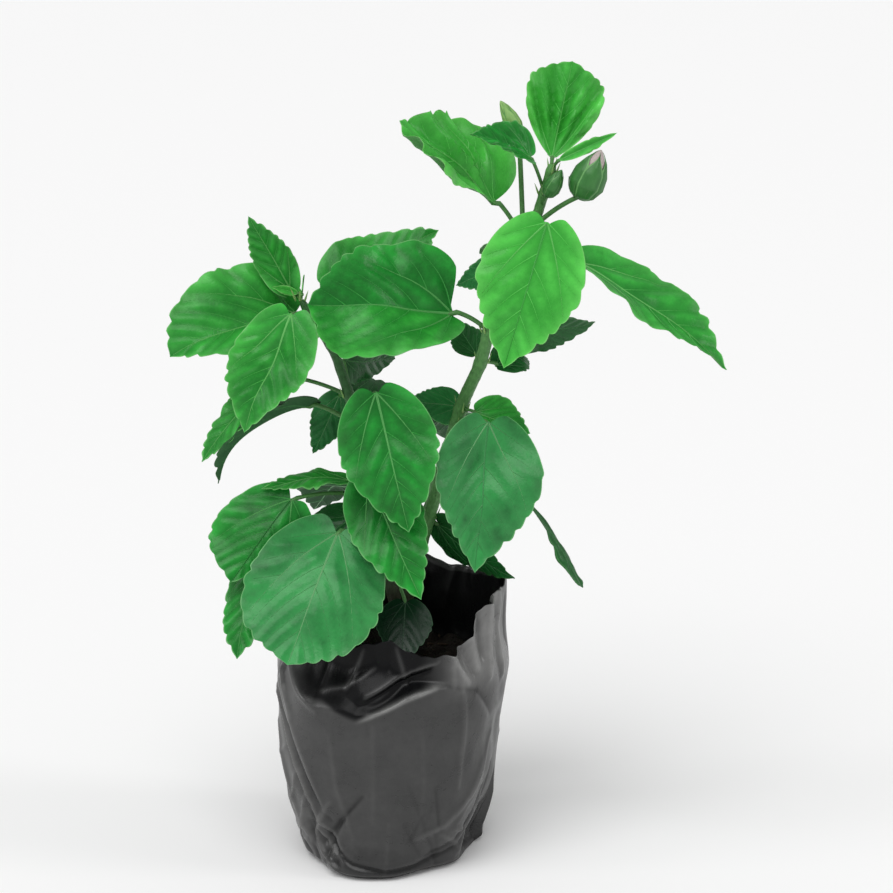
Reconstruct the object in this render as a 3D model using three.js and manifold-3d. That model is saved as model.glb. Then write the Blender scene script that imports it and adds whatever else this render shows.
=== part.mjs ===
// Young hibiscus shrub in a black polythene grow bag.
// Millimetres, +Z up. The origin is the centre of the bag's flat underside,
// the front of the plant looks along -Y and its right-hand shoot leans to +X.
//
// Every shoot is a chain: a bare bough, then a mass of leaves whose own stem
// carries the shoot on, and so on to the tip. A leaf is grown by one rule from
// one readable line: where its stalk leaves the stem, how far the stalk reaches,
// and how its blade lies. Leaves, stalks and flower buds are fused to their
// mass's stem, and every node stays CLEAR of its neighbours.

import * as THREE from 'three';
import ManifoldModule from 'manifold-3d';

const wasm = await ManifoldModule();
wasm.setup();
const { Manifold, Mesh } = wasm;

const CLEAR = 0.3;        // joint between two nodes of one limb
const BLADE = 1.15;       // thickness of a leaf blade
const STALK = { root: 1.7, tip: 1.1, sides: 5 };

// ---------------------------------------------------------------- vectors
const V = (x, y, z) => new THREE.Vector3(x, y, z);
const rad = THREE.MathUtils.degToRad;
const mix = (a, b, t) => a + (b - a) * t;
const smooth = (a, b, x) => {
  const t = Math.min(1, Math.max(0, (x - a) / (b - a)));
  return t * t * (3 - 2 * t);
};

/** Unit vector with an azimuth from +X and a pitch above level, in degrees. */
function heading(azimuth, pitch) {
  const a = rad(azimuth), p = rad(pitch);
  return V(Math.cos(p) * Math.cos(a), Math.cos(p) * Math.sin(a), Math.sin(p));
}

/** Blade frame: d along the midrib, b across it, n out of the upper face. */
function bladeFrame(azimuth, pitch, roll) {
  const d = heading(azimuth, pitch);
  const b = V(-d.y, d.x, 0).normalize();
  const n = d.clone().cross(b);
  const r = rad(roll), c = Math.cos(r), s = Math.sin(r);
  return {
    d,
    b: b.clone().multiplyScalar(c).addScaledVector(n, s),
    n: n.clone().multiplyScalar(c).addScaledVector(b, -s),
  };
}

// ----------------------------------------------------------------- solids
/** A closed solid from points and triangles. */
function solid(points, triangles) {
  const mesh = new Mesh({
    numProp: 3,
    vertProperties: new Float32Array(points.flatMap((p) => [p.x, p.y, p.z])),
    triVerts: new Uint32Array(triangles.flat()),
  });
  return new Manifold(mesh);
}

/** Solid through rings of equal point count, closed by a fan at each end. */
function loft(rings) {
  const n = rings[0].length, points = rings.flat(), triangles = [];
  for (let i = 0; i + 1 < rings.length; i++) {
    for (let j = 0; j < n; j++) {
      const a = i * n + j, b = i * n + (j + 1) % n;
      triangles.push([a, b, b + n], [a, b + n, a + n]);
    }
  }
  const last = (rings.length - 1) * n;
  for (let j = 1; j + 1 < n; j++) {
    triangles.push([0, j + 1, j], [last, last + j, last + j + 1]);
  }
  return solid(points, triangles);
}

/** Round limb along a path of points with a radius for each. */
function limb(path, radii, sides) {
  const rings = path.map((p, i) => {
    const before = path[Math.max(0, i - 1)], after = path[Math.min(path.length - 1, i + 1)];
    const t = after.clone().sub(before).normalize();
    const u = (Math.abs(t.y) < 0.9 ? V(0, 1, 0) : V(1, 0, 0)).cross(t).normalize();
    const w = t.clone().cross(u);
    return Array.from({ length: sides }, (_, j) => {
      const a = (2 * Math.PI * j) / sides;
      return p.clone().addScaledVector(u, radii[i] * Math.cos(a)).addScaledVector(w, radii[i] * Math.sin(a));
    });
  });
  return loft(rings);
}

// ------------------------------------------------------------------ shoots
// Named heights on each shoot, with the sideways and depth drift there.
const FORK = V(5, 0, 134);
const CROTCH = 153;       // height where the two shoots stand apart
const SHOOTS = {
  L: [FORK, V(-4, -2, 171), V(-12, -3, 211), V(-22, -2, 261), V(-31, 0, 288), V(-50, 0, 318)],
  R: [FORK, V(13, 2, 166), V(24, 3, 204), V(40, 3, 259), V(50, 2, 281), V(57, 1, 310), V(66, 0, 338), V(80, 0, 362), V(89, 0, 392)],
};
const THICK = { L: [4.4, 2.3], R: [4.7, 2.7] };   // radius at the fork and at the tip

/** Point of a shoot at a height. */
function onShoot(shoot, z) {
  const path = SHOOTS[shoot];
  for (let i = 0; i + 1 < path.length; i++) {
    if (z <= path[i + 1].z) return path[i].clone().lerp(path[i + 1], (z - path[i].z) / (path[i + 1].z - path[i].z));
  }
  return path[path.length - 1].clone();
}

/** Radius of a shoot at a height. */
function thickness(shoot, z) {
  const path = SHOOTS[shoot], top = path[path.length - 1].z;
  return mix(THICK[shoot][0], THICK[shoot][1], (z - FORK.z) / (top - FORK.z));
}

/** The stretch of a shoot between two heights, cut level at both ends. */
function stretch(shoot, from, to) {
  const count = Math.max(2, Math.ceil((to - from) / 14) + 1);
  const rings = Array.from({ length: count }, (_, i) => {
    const z = mix(from, to, i / (count - 1)), p = onShoot(shoot, z), r = thickness(shoot, z);
    return Array.from({ length: 10 }, (_, j) => {
      const a = (2 * Math.PI * j) / 10;
      return V(p.x + r * Math.cos(a), p.y + r * Math.sin(a), z);
    });
  });
  return loft(rings);
}

// ------------------------------------------------------------------ leaves
// Outline of a blade: half width ~ s^base * (1-s)^tip, drawn in to a point over
// its last fifth by the share "point", and how far the two lobes reach back
// behind the stalk, as a share of the length.
const OUTLINE = {
  ovate: { base: 0.5, tip: 0.85, point: 0.3, lobes: 0.09 },
  broad: { base: 0.5, tip: 0.68, point: 0.55, lobes: 0.07 },
  heart: { base: 0.42, tip: 0.56, point: 0.5, lobes: 0.12 },
  blunt: { base: 0.42, tip: 0.42, point: 0.1, lobes: 0.12 },
  round: { base: 0.5, tip: 0.5, point: 0.6, lobes: 0.08 },
  fan: { base: 0.8, tip: 0.42, point: 0.15, lobes: 0 },
  lance: { base: 0.7, tip: 1, point: 0, lobes: 0 },
};

function halfWidth(s, width, outline) {
  const { base, tip, point } = OUTLINE[outline];
  const peak = (base / (base + tip)) ** base * (tip / (base + tip)) ** tip;
  const drawnIn = 1 - point * smooth(0.8, 1, s);
  return ((width / 2) * s ** base * (1 - s) ** tip * drawnIn) / peak;
}

/** Midrib of a blade that bends evenly, so that its chord stays along d. */
function midrib(frame, length, droop, s) {
  const steps = 24, p = V(0, 0, 0);
  for (let i = 0; i < steps; i++) {
    const u = ((i + 0.5) / steps) * s, h = rad(droop) * (0.5 - u);
    p.addScaledVector(frame.d, (Math.cos(h) * length * s) / steps);
    p.addScaledVector(frame.n, (Math.sin(h) * length * s) / steps);
  }
  return p;
}

/** Leaf blade as one closed solid: a toothed, folded and drooping plate. */
function blade(at, leaf) {
  const frame = bladeFrame(leaf.azimuth, leaf.pitch, leaf.roll);
  const { lobes } = OUTLINE[leaf.outline];
  const rows = leaf.length > 60 ? 10 : leaf.length > 36 ? 8 : 6, across = [-1, -0.5, 0, 0.5, 1];
  const grid = [[], []];
  for (let i = 0; i < rows; i++) {
    const s = mix(0.02, 0.985, (i / (rows - 1)) ** 0.95);
    const h = rad(leaf.droop) * (0.5 - s), fold = rad(leaf.fold);
    const along = frame.d.clone().multiplyScalar(Math.cos(h)).addScaledVector(frame.n, Math.sin(h));
    const out = frame.n.clone().multiplyScalar(Math.cos(h)).addScaledVector(frame.d, -Math.sin(h));
    const teeth = s > 0.3 && i < rows - 1 ? (i % 2 ? 0.05 : -0.05) : 0;
    const w = Math.max(0.8, halfWidth(s, leaf.width, leaf.outline) * (1 + teeth));
    const centre = midrib(frame, leaf.length, leaf.droop, s).add(at);
    for (const t of across) {
      const p = centre.clone()
        .addScaledVector(frame.b, w * t * Math.cos(fold))
        .addScaledVector(out, w * Math.abs(t) * Math.sin(fold))
        .addScaledVector(along, -lobes * leaf.length * Math.abs(t) * (1 - s) ** 4);
      grid[0].push(p);
      grid[1].push(p.clone().addScaledVector(out, -BLADE * (Math.abs(t) === 1 ? 0.85 : 1)));
    }
  }
  const n = across.length, count = rows * n, points = [...grid[0], ...grid[1]], triangles = [];
  for (let i = 0; i + 1 < rows; i++) {
    for (let j = 0; j + 1 < n; j++) {
      const a = i * n + j;
      triangles.push([a, a + n, a + 1], [a + 1, a + n, a + n + 1]);
      triangles.push([a + count, a + count + 1, a + count + n], [a + count + 1, a + count + n + 1, a + count + n]);
    }
  }
  const rim = [];
  for (let j = 0; j < n; j++) rim.push(j);
  for (let i = 1; i < rows; i++) rim.push(i * n + n - 1);
  for (let j = n - 2; j >= 0; j--) rim.push((rows - 1) * n + j);
  for (let i = rows - 2; i > 0; i--) rim.push(i * n);
  rim.forEach((a, k) => {
    const b = rim[(k + 1) % rim.length];
    triangles.push([a, b, b + count], [a, b + count, a + count]);
  });
  return solid(points, triangles);
}

/** Point and root of a leaf's stalk on its shoot. */
function stalkEnds(shoot, leaf) {
  const root = onShoot(shoot, leaf.height), a = rad(leaf.stalk[0]);
  const end = root.clone().add(V(Math.cos(a) * leaf.stalk[1], Math.sin(a) * leaf.stalk[1], leaf.stalk[2]));
  return { root, end };
}

/** Stalk that springs up a little before its end, then runs on to a last point. */
function stalk(root, end, last, thick = STALK) {
  const reach = end.distanceTo(root), middle = root.clone().lerp(end, 0.5).add(V(0, 0, reach * 0.12));
  const count = reach > 25 ? 4 : 3;
  const path = [...new THREE.QuadraticBezierCurve3(root, middle, end).getPoints(count), last];
  return limb(path, path.map((_, i) => mix(thick.root, thick.tip, i / count)), thick.sides);
}

/** One leaf: its stalk runs on a little way under the blade. */
function growLeaf(shoot, leaf) {
  const { root, end } = stalkEnds(shoot, leaf);
  const frame = bladeFrame(leaf.azimuth, leaf.pitch, leaf.roll);
  const under = midrib(frame, leaf.length, leaf.droop, 0.09).add(end).addScaledVector(frame.n, -BLADE * 0.5);
  return Manifold.union([blade(end, leaf), stalk(root, end, under)]);
}

/** One flower bud on its own stalk: an egg of five sepals, pointed at the tip. */
function growBud(shoot, bud) {
  const { root, end } = stalkEnds(shoot, bud);
  const d = heading(bud.azimuth, bud.pitch), parts = [stalk(root, end, end.clone().add(d), { root: 1.6, tip: 1.5, sides: 6 })];
  const profile = [[0, 0.35], [0.08, 0.7], [0.3, 1], [0.55, 0.93], [0.8, 0.6], [0.95, 0.25], [1, 0.1]];
  const path = profile.map(([s]) => end.clone().addScaledVector(d, s * bud.length - 1.5));
  parts.push(limb(path, profile.map(([, r]) => (r * bud.width) / 2), 10));
  return Manifold.union(parts);
}

// name, height on the shoot, stalk [azimuth, reach, rise], azimuth, pitch, roll, length, width, droop, fold, outline
const leaf = (name, height, stalkReach, azimuth, pitch, roll, length, width, droop, fold, outline) =>
  ({ name, height, stalk: stalkReach, azimuth, pitch, roll, length, width, droop, fold, outline });
const bud = (name, height, stalkReach, azimuth, pitch, length, width) =>
  ({ name, height, stalk: stalkReach, azimuth, pitch, length, width });

const MASSES = [
  {
    name: 'left_lower_leaves', shoot: 'L', from: 168, to: 222, look: 'leaf',
    leaves: [
      leaf('LL3', 176, [-128, 38, 18], -120, -52, -28, 81, 74, 20, 4, 'blunt'),
      leaf('LL4', 186, [-174, 13, 9], -165, -33, -47, 44, 34, 20, 0, 'ovate'),
      leaf('LL5', 173, [-166, 68, 2], -114, -66, -6, 60, 32, 20, 0, 'broad'),
      leaf('LL2', 206, [-157, 44, 3], -153, -44, -47, 64, 50, 20, 4, 'broad'),
      leaf('LL1', 216, [-143, 12, 3], -166, -4, -8, 50, 24, 4, 8, 'ovate'),
      leaf('LL6', 177, [-45, 19, -29], -95, -51, 0, 38, 34, 20, 0, 'broad'),
      leaf('C5', 206, [-92, 21, 15], -43, -57, 50, 73, 45, 20, 6, 'ovate'),
      leaf('B5', 192, [118, 34, 14], 112, -24, 4, 72, 52, 34, 4, 'ovate'),
    ],
  },
  {
    name: 'left_middle_leaves', shoot: 'L', from: 222, to: 270, look: 'leaf',
    leaves: [
      leaf('C1', 246, [-72, 39, 27], -43, -72, 47, 78, 56, 12, 5, 'broad'),
      leaf('L5', 246, [170, 25, 12], -169, -40, -19, 74, 31, 85, 0, 'ovate'),
      leaf('L6', 256, [106, 29, 2], 166, -64, -112, 38, 22, 20, 0, 'ovate'),
      leaf('L7', 256, [93, 36, 0], 42, -6, 44, 39, 24, 20, 0, 'ovate'),
      leaf('M3', 258, [111, 15, 24], 49, -10, 115, 46, 30, 20, 0, 'broad'),
      leaf('L4', 263, [175, 43, 11], -168, -51, -36, 62, 26, 30, 10, 'ovate'),
      leaf('B2', 236, [92, 34, 12], 90, -30, -3, 74, 54, 36, 4, 'broad'),
    ],
  },
  {
    name: 'left_tip_leaves', shoot: 'L', from: 287, to: 319, look: 'leaf',
    leaves: [
      leaf('M2', 291, [88, 12, 29], 17, 25, 52, 68, 48, 10, 0, 'ovate'),
      leaf('L3', 303, [-108, 38, 12], -143, -62, -43, 69, 50, 20, 6, 'broad'),
      leaf('L2', 309, [145, 9, -1], -162, -16, -56, 77, 56, 72, 14, 'round'),
      leaf('L1', 318, [180, 5, 5], -151, 60, -116, 49, 24, -10, 16, 'ovate'),
      leaf('L8', 317, [-117, 2, 4], -151, 25, -70, 18, 9, 0, 20, 'lance'),
      leaf('B3', 299, [72, 24, 8], 64, -12, 5, 62, 44, 30, 4, 'ovate'),
    ],
  },
  {
    name: 'right_lower_leaves', shoot: 'R', from: 185, to: 262, look: 'leaf',
    leaves: [
      leaf('C6', 193, [23, 5, -5], -18, -30, 122, 54, 38, 24, 0, 'ovate'),
      leaf('C7', 211, [14, 50, -9], -17, -56, 8, 62, 19, 14, 0, 'fan'),
      leaf('C2', 246, [-52, 28, 6], -107, -74, -33, 83, 67, 16, 18, 'broad'),
      leaf('C3', 254, [-47, 12, 1], 0, -22, 53, 33, 33, 10, 0, 'round'),
      leaf('C4', 256, [101, 9, -2], -169, 8, -40, 32, 30, 10, 0, 'ovate'),
      leaf('B1', 232, [80, 36, 12], 82, -32, 2, 78, 58, 34, 4, 'broad'),
      leaf('B6', 214, [50, 26, 6], 50, -16, 4, 54, 38, 28, 4, 'ovate'),
    ],
  },
  {
    name: 'right_middle_leaves', shoot: 'R', from: 277, to: 312, look: 'leaf',
    leaves: [
      leaf('R12', 281, [100, 14, 2], 134, 43, -15, 26, 26, 10, 10, 'broad'),
      leaf('R14', 281, [40, 12, -2], 65, -4, 39, 41, 22, 50, 0, 'broad'),
      leaf('M1', 299, [-149, 22, 13], -162, 5, -54, 84, 82, 14, 22, 'broad'),
      leaf('R13', 306, [65, 25, -14], 14, 8, 129, 50, 46, 20, 0, 'ovate'),
    ],
  },
  {
    name: 'right_upper_leaves', shoot: 'R', from: 312, to: 346, look: 'young_leaf',
    leaves: [
      leaf('R10', 326, [-8, 42, 10], -12, -34, 33, 99, 46, 36, 6, 'ovate'),
      leaf('R11', 328, [75, 22, 6], 160, -23, -75, 38, 20, 20, 0, 'ovate'),
      leaf('R9', 338, [-52, 31, 25], -157, -72, -62, 82, 60, 10, 4, 'broad'),
      leaf('B4', 331, [80, 28, 8], 78, -28, 2, 66, 50, 30, 4, 'broad'),
    ],
  },
  {
    name: 'right_tip_leaves', shoot: 'R', from: 346, to: 393, look: 'young_leaf',
    leaves: [
      leaf('R2', 350, [180, 14, 21], -154, 37, -46, 76, 62, -20, 30, 'heart'),
      leaf('R3', 376, [-133, 11, 20], -160, 24, -44, 38, 32, 25, 28, 'broad'),
      leaf('R1', 389, [85, 6, 5], 29, 77, 62, 54, 41, -15, 10, 'fan'),
      leaf('R5', 387, [-46, 6, 7], -7, 26, 80, 35, 11, 0, 30, 'lance'),
    ],
    buds: [
      bud('side', 368, [-60, 8, 8], -12, 60, 17, 9),
      bud('large', 354, [-14, 29, 21], -10, 66, 29, 18),
      bud('long', 350, [125, 13, 42], 175, 77, 34, 10),
    ],
  },
];
const BOUGHS = [
  { name: 'left_bough', shoot: 'L', from: CROTCH, to: 168 },
  { name: 'left_upper_bough', shoot: 'L', from: 270, to: 287 },
  { name: 'right_bough', shoot: 'R', from: CROTCH, to: 185 },
  { name: 'right_upper_bough', shoot: 'R', from: 262, to: 277 },
];

// ------------------------------------------------------------ bag and soil
const BAG = { wall: 2, soil: 112, segments: 48 };
const PROFILE = [[0, 45], [4, 52], [12, 56], [30, 60.5], [60, 63.5], [90, 65.5], [112, 66], [135, 65]];

/** Radius of the bag's outer face at a height and an angle from +X. */
function bagRadius(z, angle) {
  let r = PROFILE[PROFILE.length - 1][1];
  for (let i = 0; i + 1 < PROFILE.length; i++) {
    const [z0, r0] = PROFILE[i], [z1, r1] = PROFILE[i + 1];
    if (z >= z0 && z <= z1) r = mix(r0, r1, (z - z0) / (z1 - z0));
  }
  const low = 1 - smooth(4, 40, z), high = smooth(108, 132, z);
  r += 1.6 * low * Math.sin(7 * angle + 0.6) + 1.0 * Math.sin(3 * angle + 1.1) * smooth(0, 20, z);
  r += high * (1.6 * Math.sin(9 * angle + 0.4) - 2);
  const front = Math.exp(-(((angle - rad(248)) / rad(34)) ** 2));
  return r - 11 * front * smooth(100, 124, z);
}

/** Height of the bag's torn-off rim at an angle from +X. */
function rimHeight(angle) {
  const low = Math.exp(-(((angle - rad(200)) / rad(45)) ** 2));
  const front = Math.exp(-(((angle - rad(285)) / rad(40)) ** 2));
  return 156 + 4 * Math.sin(2 * angle + 2.6) + 1.5 * Math.sin(5 * angle) - 30 * low - 24 * front;
}

function ring(count, place) {
  return Array.from({ length: count }, (_, j) => place((2 * Math.PI * (j + 0.5)) / count));
}

function growBag() {
  const outer = [0, 0.02, 0.07, 0.16, 0.3, 0.48, 0.64, 0.74, 0.83, 0.92, 1];
  const at = (share, inset, lift) => ring(BAG.segments, (a) => {
    const z = share * rimHeight(a), r = bagRadius(z, a) - inset;
    return V(r * Math.cos(a), r * Math.sin(a), z + lift);
  });
  const rings = outer.map((s) => at(s, 0, 0));
  for (const s of [...outer].reverse().slice(0, -1)) {
    if (s * 150 > BAG.wall + 1) rings.push(at(s, BAG.wall, 0));
  }
  rings.push(ring(BAG.segments, (a) => {
    const r = bagRadius(3, a) - BAG.wall;
    return V(r * Math.cos(a), r * Math.sin(a), BAG.wall);
  }));
  return loft(rings);
}

function growSoil() {
  const gap = BAG.wall + CLEAR, heights = [gap, 8, 20, 44, 72, 96, 108];
  const side = (z, inset) => ring(BAG.segments, (a) => {
    const r = bagRadius(Math.max(z, 3), a) - inset;
    return V(r * Math.cos(a), r * Math.sin(a), z);
  });
  const rings = heights.map((z, i) => side(z, gap + (i ? 0.5 : 1.5)));
  rings.push(ring(BAG.segments, (a) => {
    const r = 44 + 2 * Math.sin(4 * a);
    return V(r * Math.cos(a), r * Math.sin(a), BAG.soil - 2 + 1.2 * Math.sin(6 * a + 1));
  }));
  rings.push(ring(BAG.segments, (a) => V(18 * Math.cos(a), 18 * Math.sin(a), BAG.soil)));
  return loft(rings);
}

/** Trunk: flat cut on the soil, root flare, then its lean up to the fork. */
function growTrunk() {
  const foot = BAG.soil + CLEAR;
  const steps = [[foot, 9.5, 2], [foot + 2, 7.6, 2.4], [foot + 6, 6.3, 3.2], [foot + 13, 5.7, 4.2], [FORK.z, 5.9, 5], [FORK.z + 4, 6.2, 5.2]];
  const rings = steps.map(([z, r, x], i) => ring(12, (a) => {
    const flare = r * (1 + (i < 3 ? 0.12 : 0.02) * Math.sin(3 * a + 0.7));
    return V(x + flare * Math.cos(a), flare * Math.sin(a), z);
  }));
  const arms = ['L', 'R'].map((shoot) => stretch(shoot, FORK.z - 2, CROTCH - CLEAR / 2));
  return Manifold.union([loft(rings), ...arms]);
}

// ---------------------------------------------------------------- assembly
const finish = (color, roughness) => new THREE.MeshStandardMaterial({ color, roughness, metalness: 0 });
const FINISH = {
  polythene: finish(0x232427, 0.38), soil: finish(0x33271d, 0.95), bark: finish(0x5d6b3c, 0.8),
  green_stem: finish(0x4a8038, 0.6), leaf: finish(0x2c8034, 0.45), young_leaf: finish(0x4aa83f, 0.45),
};

const group = (name) => Object.assign(new THREE.Group(), { name });
const hibiscus = group('hibiscus_shrub');
const pot = group('pot'), shoots = { T: group('foot'), L: group('left_shoot'), R: group('right_shoot') };
hibiscus.add(pot, ...Object.values(shoots));

/** Adds one closed solid to a group as a named mesh, placed at its own origin. */
function add(parent, name, body, finish, origin = V(0, 0, 0)) {
  const { vertProperties, triVerts, numProp } = body.getMesh();
  const positions = new Float32Array((vertProperties.length / numProp) * 3);
  for (let i = 0; i < positions.length / 3; i++) {
    for (let k = 0; k < 3; k++) {
      positions[3 * i + k] = vertProperties[i * numProp + k] - origin.getComponent(k);
    }
  }
  const geometry = new THREE.BufferGeometry();
  geometry.setAttribute('position', new THREE.BufferAttribute(positions, 3));
  geometry.setIndex(Array.from(triVerts));
  const mesh = new THREE.Mesh(geometry, FINISH[finish]);
  mesh.name = name;
  mesh.position.copy(origin);
  parent.add(mesh);
}

/** A mass: its stretch of stem with its leaves and buds fused on. */
function growMass({ shoot, from, to, leaves = [], buds = [] }, taken) {
  const parts = [stretch(shoot, from + CLEAR / 2, to - CLEAR / 2)];
  for (const item of leaves) {
    const grown = growLeaf(shoot, item);
    if (taken.every((other) => grown.intersect(other).volume() < 0.001)) parts.push(grown);
  }
  for (const item of buds) parts.push(growBud(shoot, item));
  return Manifold.union(parts);
}

const taken = [];
const place = (parent, name, body, look, origin) => {
  taken.push(body);
  add(parent, name, body, look, origin);
};
place(pot, 'grow_bag', growBag(), 'polythene');
place(pot, 'potting_soil', growSoil(), 'soil');
place(shoots.T, 'trunk', growTrunk(), 'bark', V(0, 0, BAG.soil));
for (const { name, shoot, from, to } of BOUGHS) {
  place(shoots[shoot], name, stretch(shoot, from + CLEAR / 2, to - CLEAR / 2), 'green_stem', onShoot(shoot, from));
}
for (const mass of MASSES) {
  place(shoots[mass.shoot], mass.name, growMass(mass, taken), mass.look, onShoot(mass.shoot, mass.from));
}

export default hibiscus;
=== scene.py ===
"""Young hibiscus shrub in a black polythene grow bag, dressed for rendering.

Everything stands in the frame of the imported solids: +Z up, the front looks
along -Y, and the origin is the centre of the bag's flat underside. Sizes in the
classes of the plant and the bag are millimetres and become metres when a mesh is
made. Those of the studio are metres.
"""

from __future__ import annotations

import logging
import math
from collections.abc import Callable, Iterable, Sequence
from dataclasses import dataclass
from enum import Enum

import bpy
import numpy as np
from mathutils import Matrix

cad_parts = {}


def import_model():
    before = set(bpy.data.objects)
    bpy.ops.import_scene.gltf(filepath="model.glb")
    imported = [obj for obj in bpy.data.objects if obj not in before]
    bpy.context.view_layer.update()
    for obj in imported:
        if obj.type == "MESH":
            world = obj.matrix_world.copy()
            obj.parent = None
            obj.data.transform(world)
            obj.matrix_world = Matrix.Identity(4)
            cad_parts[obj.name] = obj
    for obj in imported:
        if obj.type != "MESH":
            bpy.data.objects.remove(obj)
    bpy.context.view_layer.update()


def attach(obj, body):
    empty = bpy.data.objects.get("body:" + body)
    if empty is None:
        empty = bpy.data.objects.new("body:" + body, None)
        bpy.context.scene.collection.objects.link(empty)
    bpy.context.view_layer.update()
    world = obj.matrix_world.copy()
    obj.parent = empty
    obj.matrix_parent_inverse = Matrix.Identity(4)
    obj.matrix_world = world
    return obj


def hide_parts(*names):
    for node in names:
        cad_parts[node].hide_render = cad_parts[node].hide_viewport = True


log = logging.getLogger("hibiscus")

MM = 0.001  # metres
PATTERN = 100.0  # millimetres to one unit of the surface map
FINE_RELIEF = 0.0003  # metres
BODY = "root"
BAKE_MAP = "OFBake"
SURFACE_MAP = "SurfaceMap"
ZONE_MAP = "ZoneMap"
Array = np.ndarray
Colour = tuple[float, float, float]
Inputs = dict[str | int, object]
Axes = tuple[Array, Array, Array, Array]


# ------------------------------------------------------------------ numbers
def smooth(low: float, high: float, x: Array | float) -> Array:
    """Smooth step.

    Args:
        low: Where the step starts.
        high: Where it ends.
        x: Where it is read.

    Returns:
        0 before the step, 1 after it.
    """
    t = np.clip((np.asarray(x, float) - low) / (high - low), 0.0, 1.0)
    return t * t * (3.0 - 2.0 * t)


def unit(v: Array) -> Array:
    """Vectors of length one."""
    return v / np.maximum(np.linalg.norm(v, axis=-1, keepdims=True), 1e-12)


def heading(azimuth: float, pitch: float) -> Array:
    """Unit vector.

    Args:
        azimuth: Degrees from +X.
        pitch: Degrees above level.

    Returns:
        The direction.
    """
    a, p = math.radians(azimuth), math.radians(pitch)
    return np.array([math.cos(p) * math.cos(a), math.cos(p) * math.sin(a), math.sin(p)])


def bell(x: Array | float, middle: float, spread: float) -> Array:
    """1 at the middle, falling to 0 a few spreads away."""
    return np.exp(-(((x - middle) / spread) ** 2))


def bow(start: Array, middle: Array, end: Array, count: int) -> Array:
    """Points along a curve that leaves its start towards a middle point.

    Args:
        start: Where it starts.
        middle: The point that it bends towards.
        end: Where it ends.
        count: How many points it has.

    Returns:
        The points.
    """
    t = np.linspace(0, 1, count)[:, None]
    return (1 - t) ** 2 * start + 2 * (1 - t) * t * middle + t**2 * end


def around_axis(angle: Array, radius: Array | float, z: Array) -> Array:
    """Points at angles round the upright axis, at a radius and a height."""
    return np.stack([radius * np.cos(angle), radius * np.sin(angle), z], -1)


class Ripple:
    """Smooth seeded noise: a sum of waves in many directions."""

    def __init__(self, seed: int, size: float, waves: int = 14, axes: int = 2) -> None:
        """Draws the waves.

        Args:
            seed: Seed of the draw.
            size: Typical size of one swelling.
            waves: How many waves are summed.
            axes: 2 for points on a plane, 3 for points in space.
        """
        rng = np.random.default_rng(seed)
        self.k = unit(rng.normal(size=(waves, axes))) * rng.uniform(0.6, 1.7, (waves, 1)) * math.pi / size
        self.phase = rng.uniform(0, 2 * math.pi, waves)
        self.share = 1.4 / math.sqrt(waves)

    def at(self, points: Array) -> Array:
        """Noise, mostly between -1 and 1, at points of shape (..., axes)."""
        return np.sin(points @ self.k.T + self.phase).sum(-1) * self.share


# ------------------------------------------------------------------- meshes
@dataclass
class Patch:
    """Some faces of a piece, with a chart of their own on the bake map."""

    corners: Array
    slot: int
    chart: Array
    surface: Array
    zone: Array
    small: bool
    chart_id: int


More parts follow.
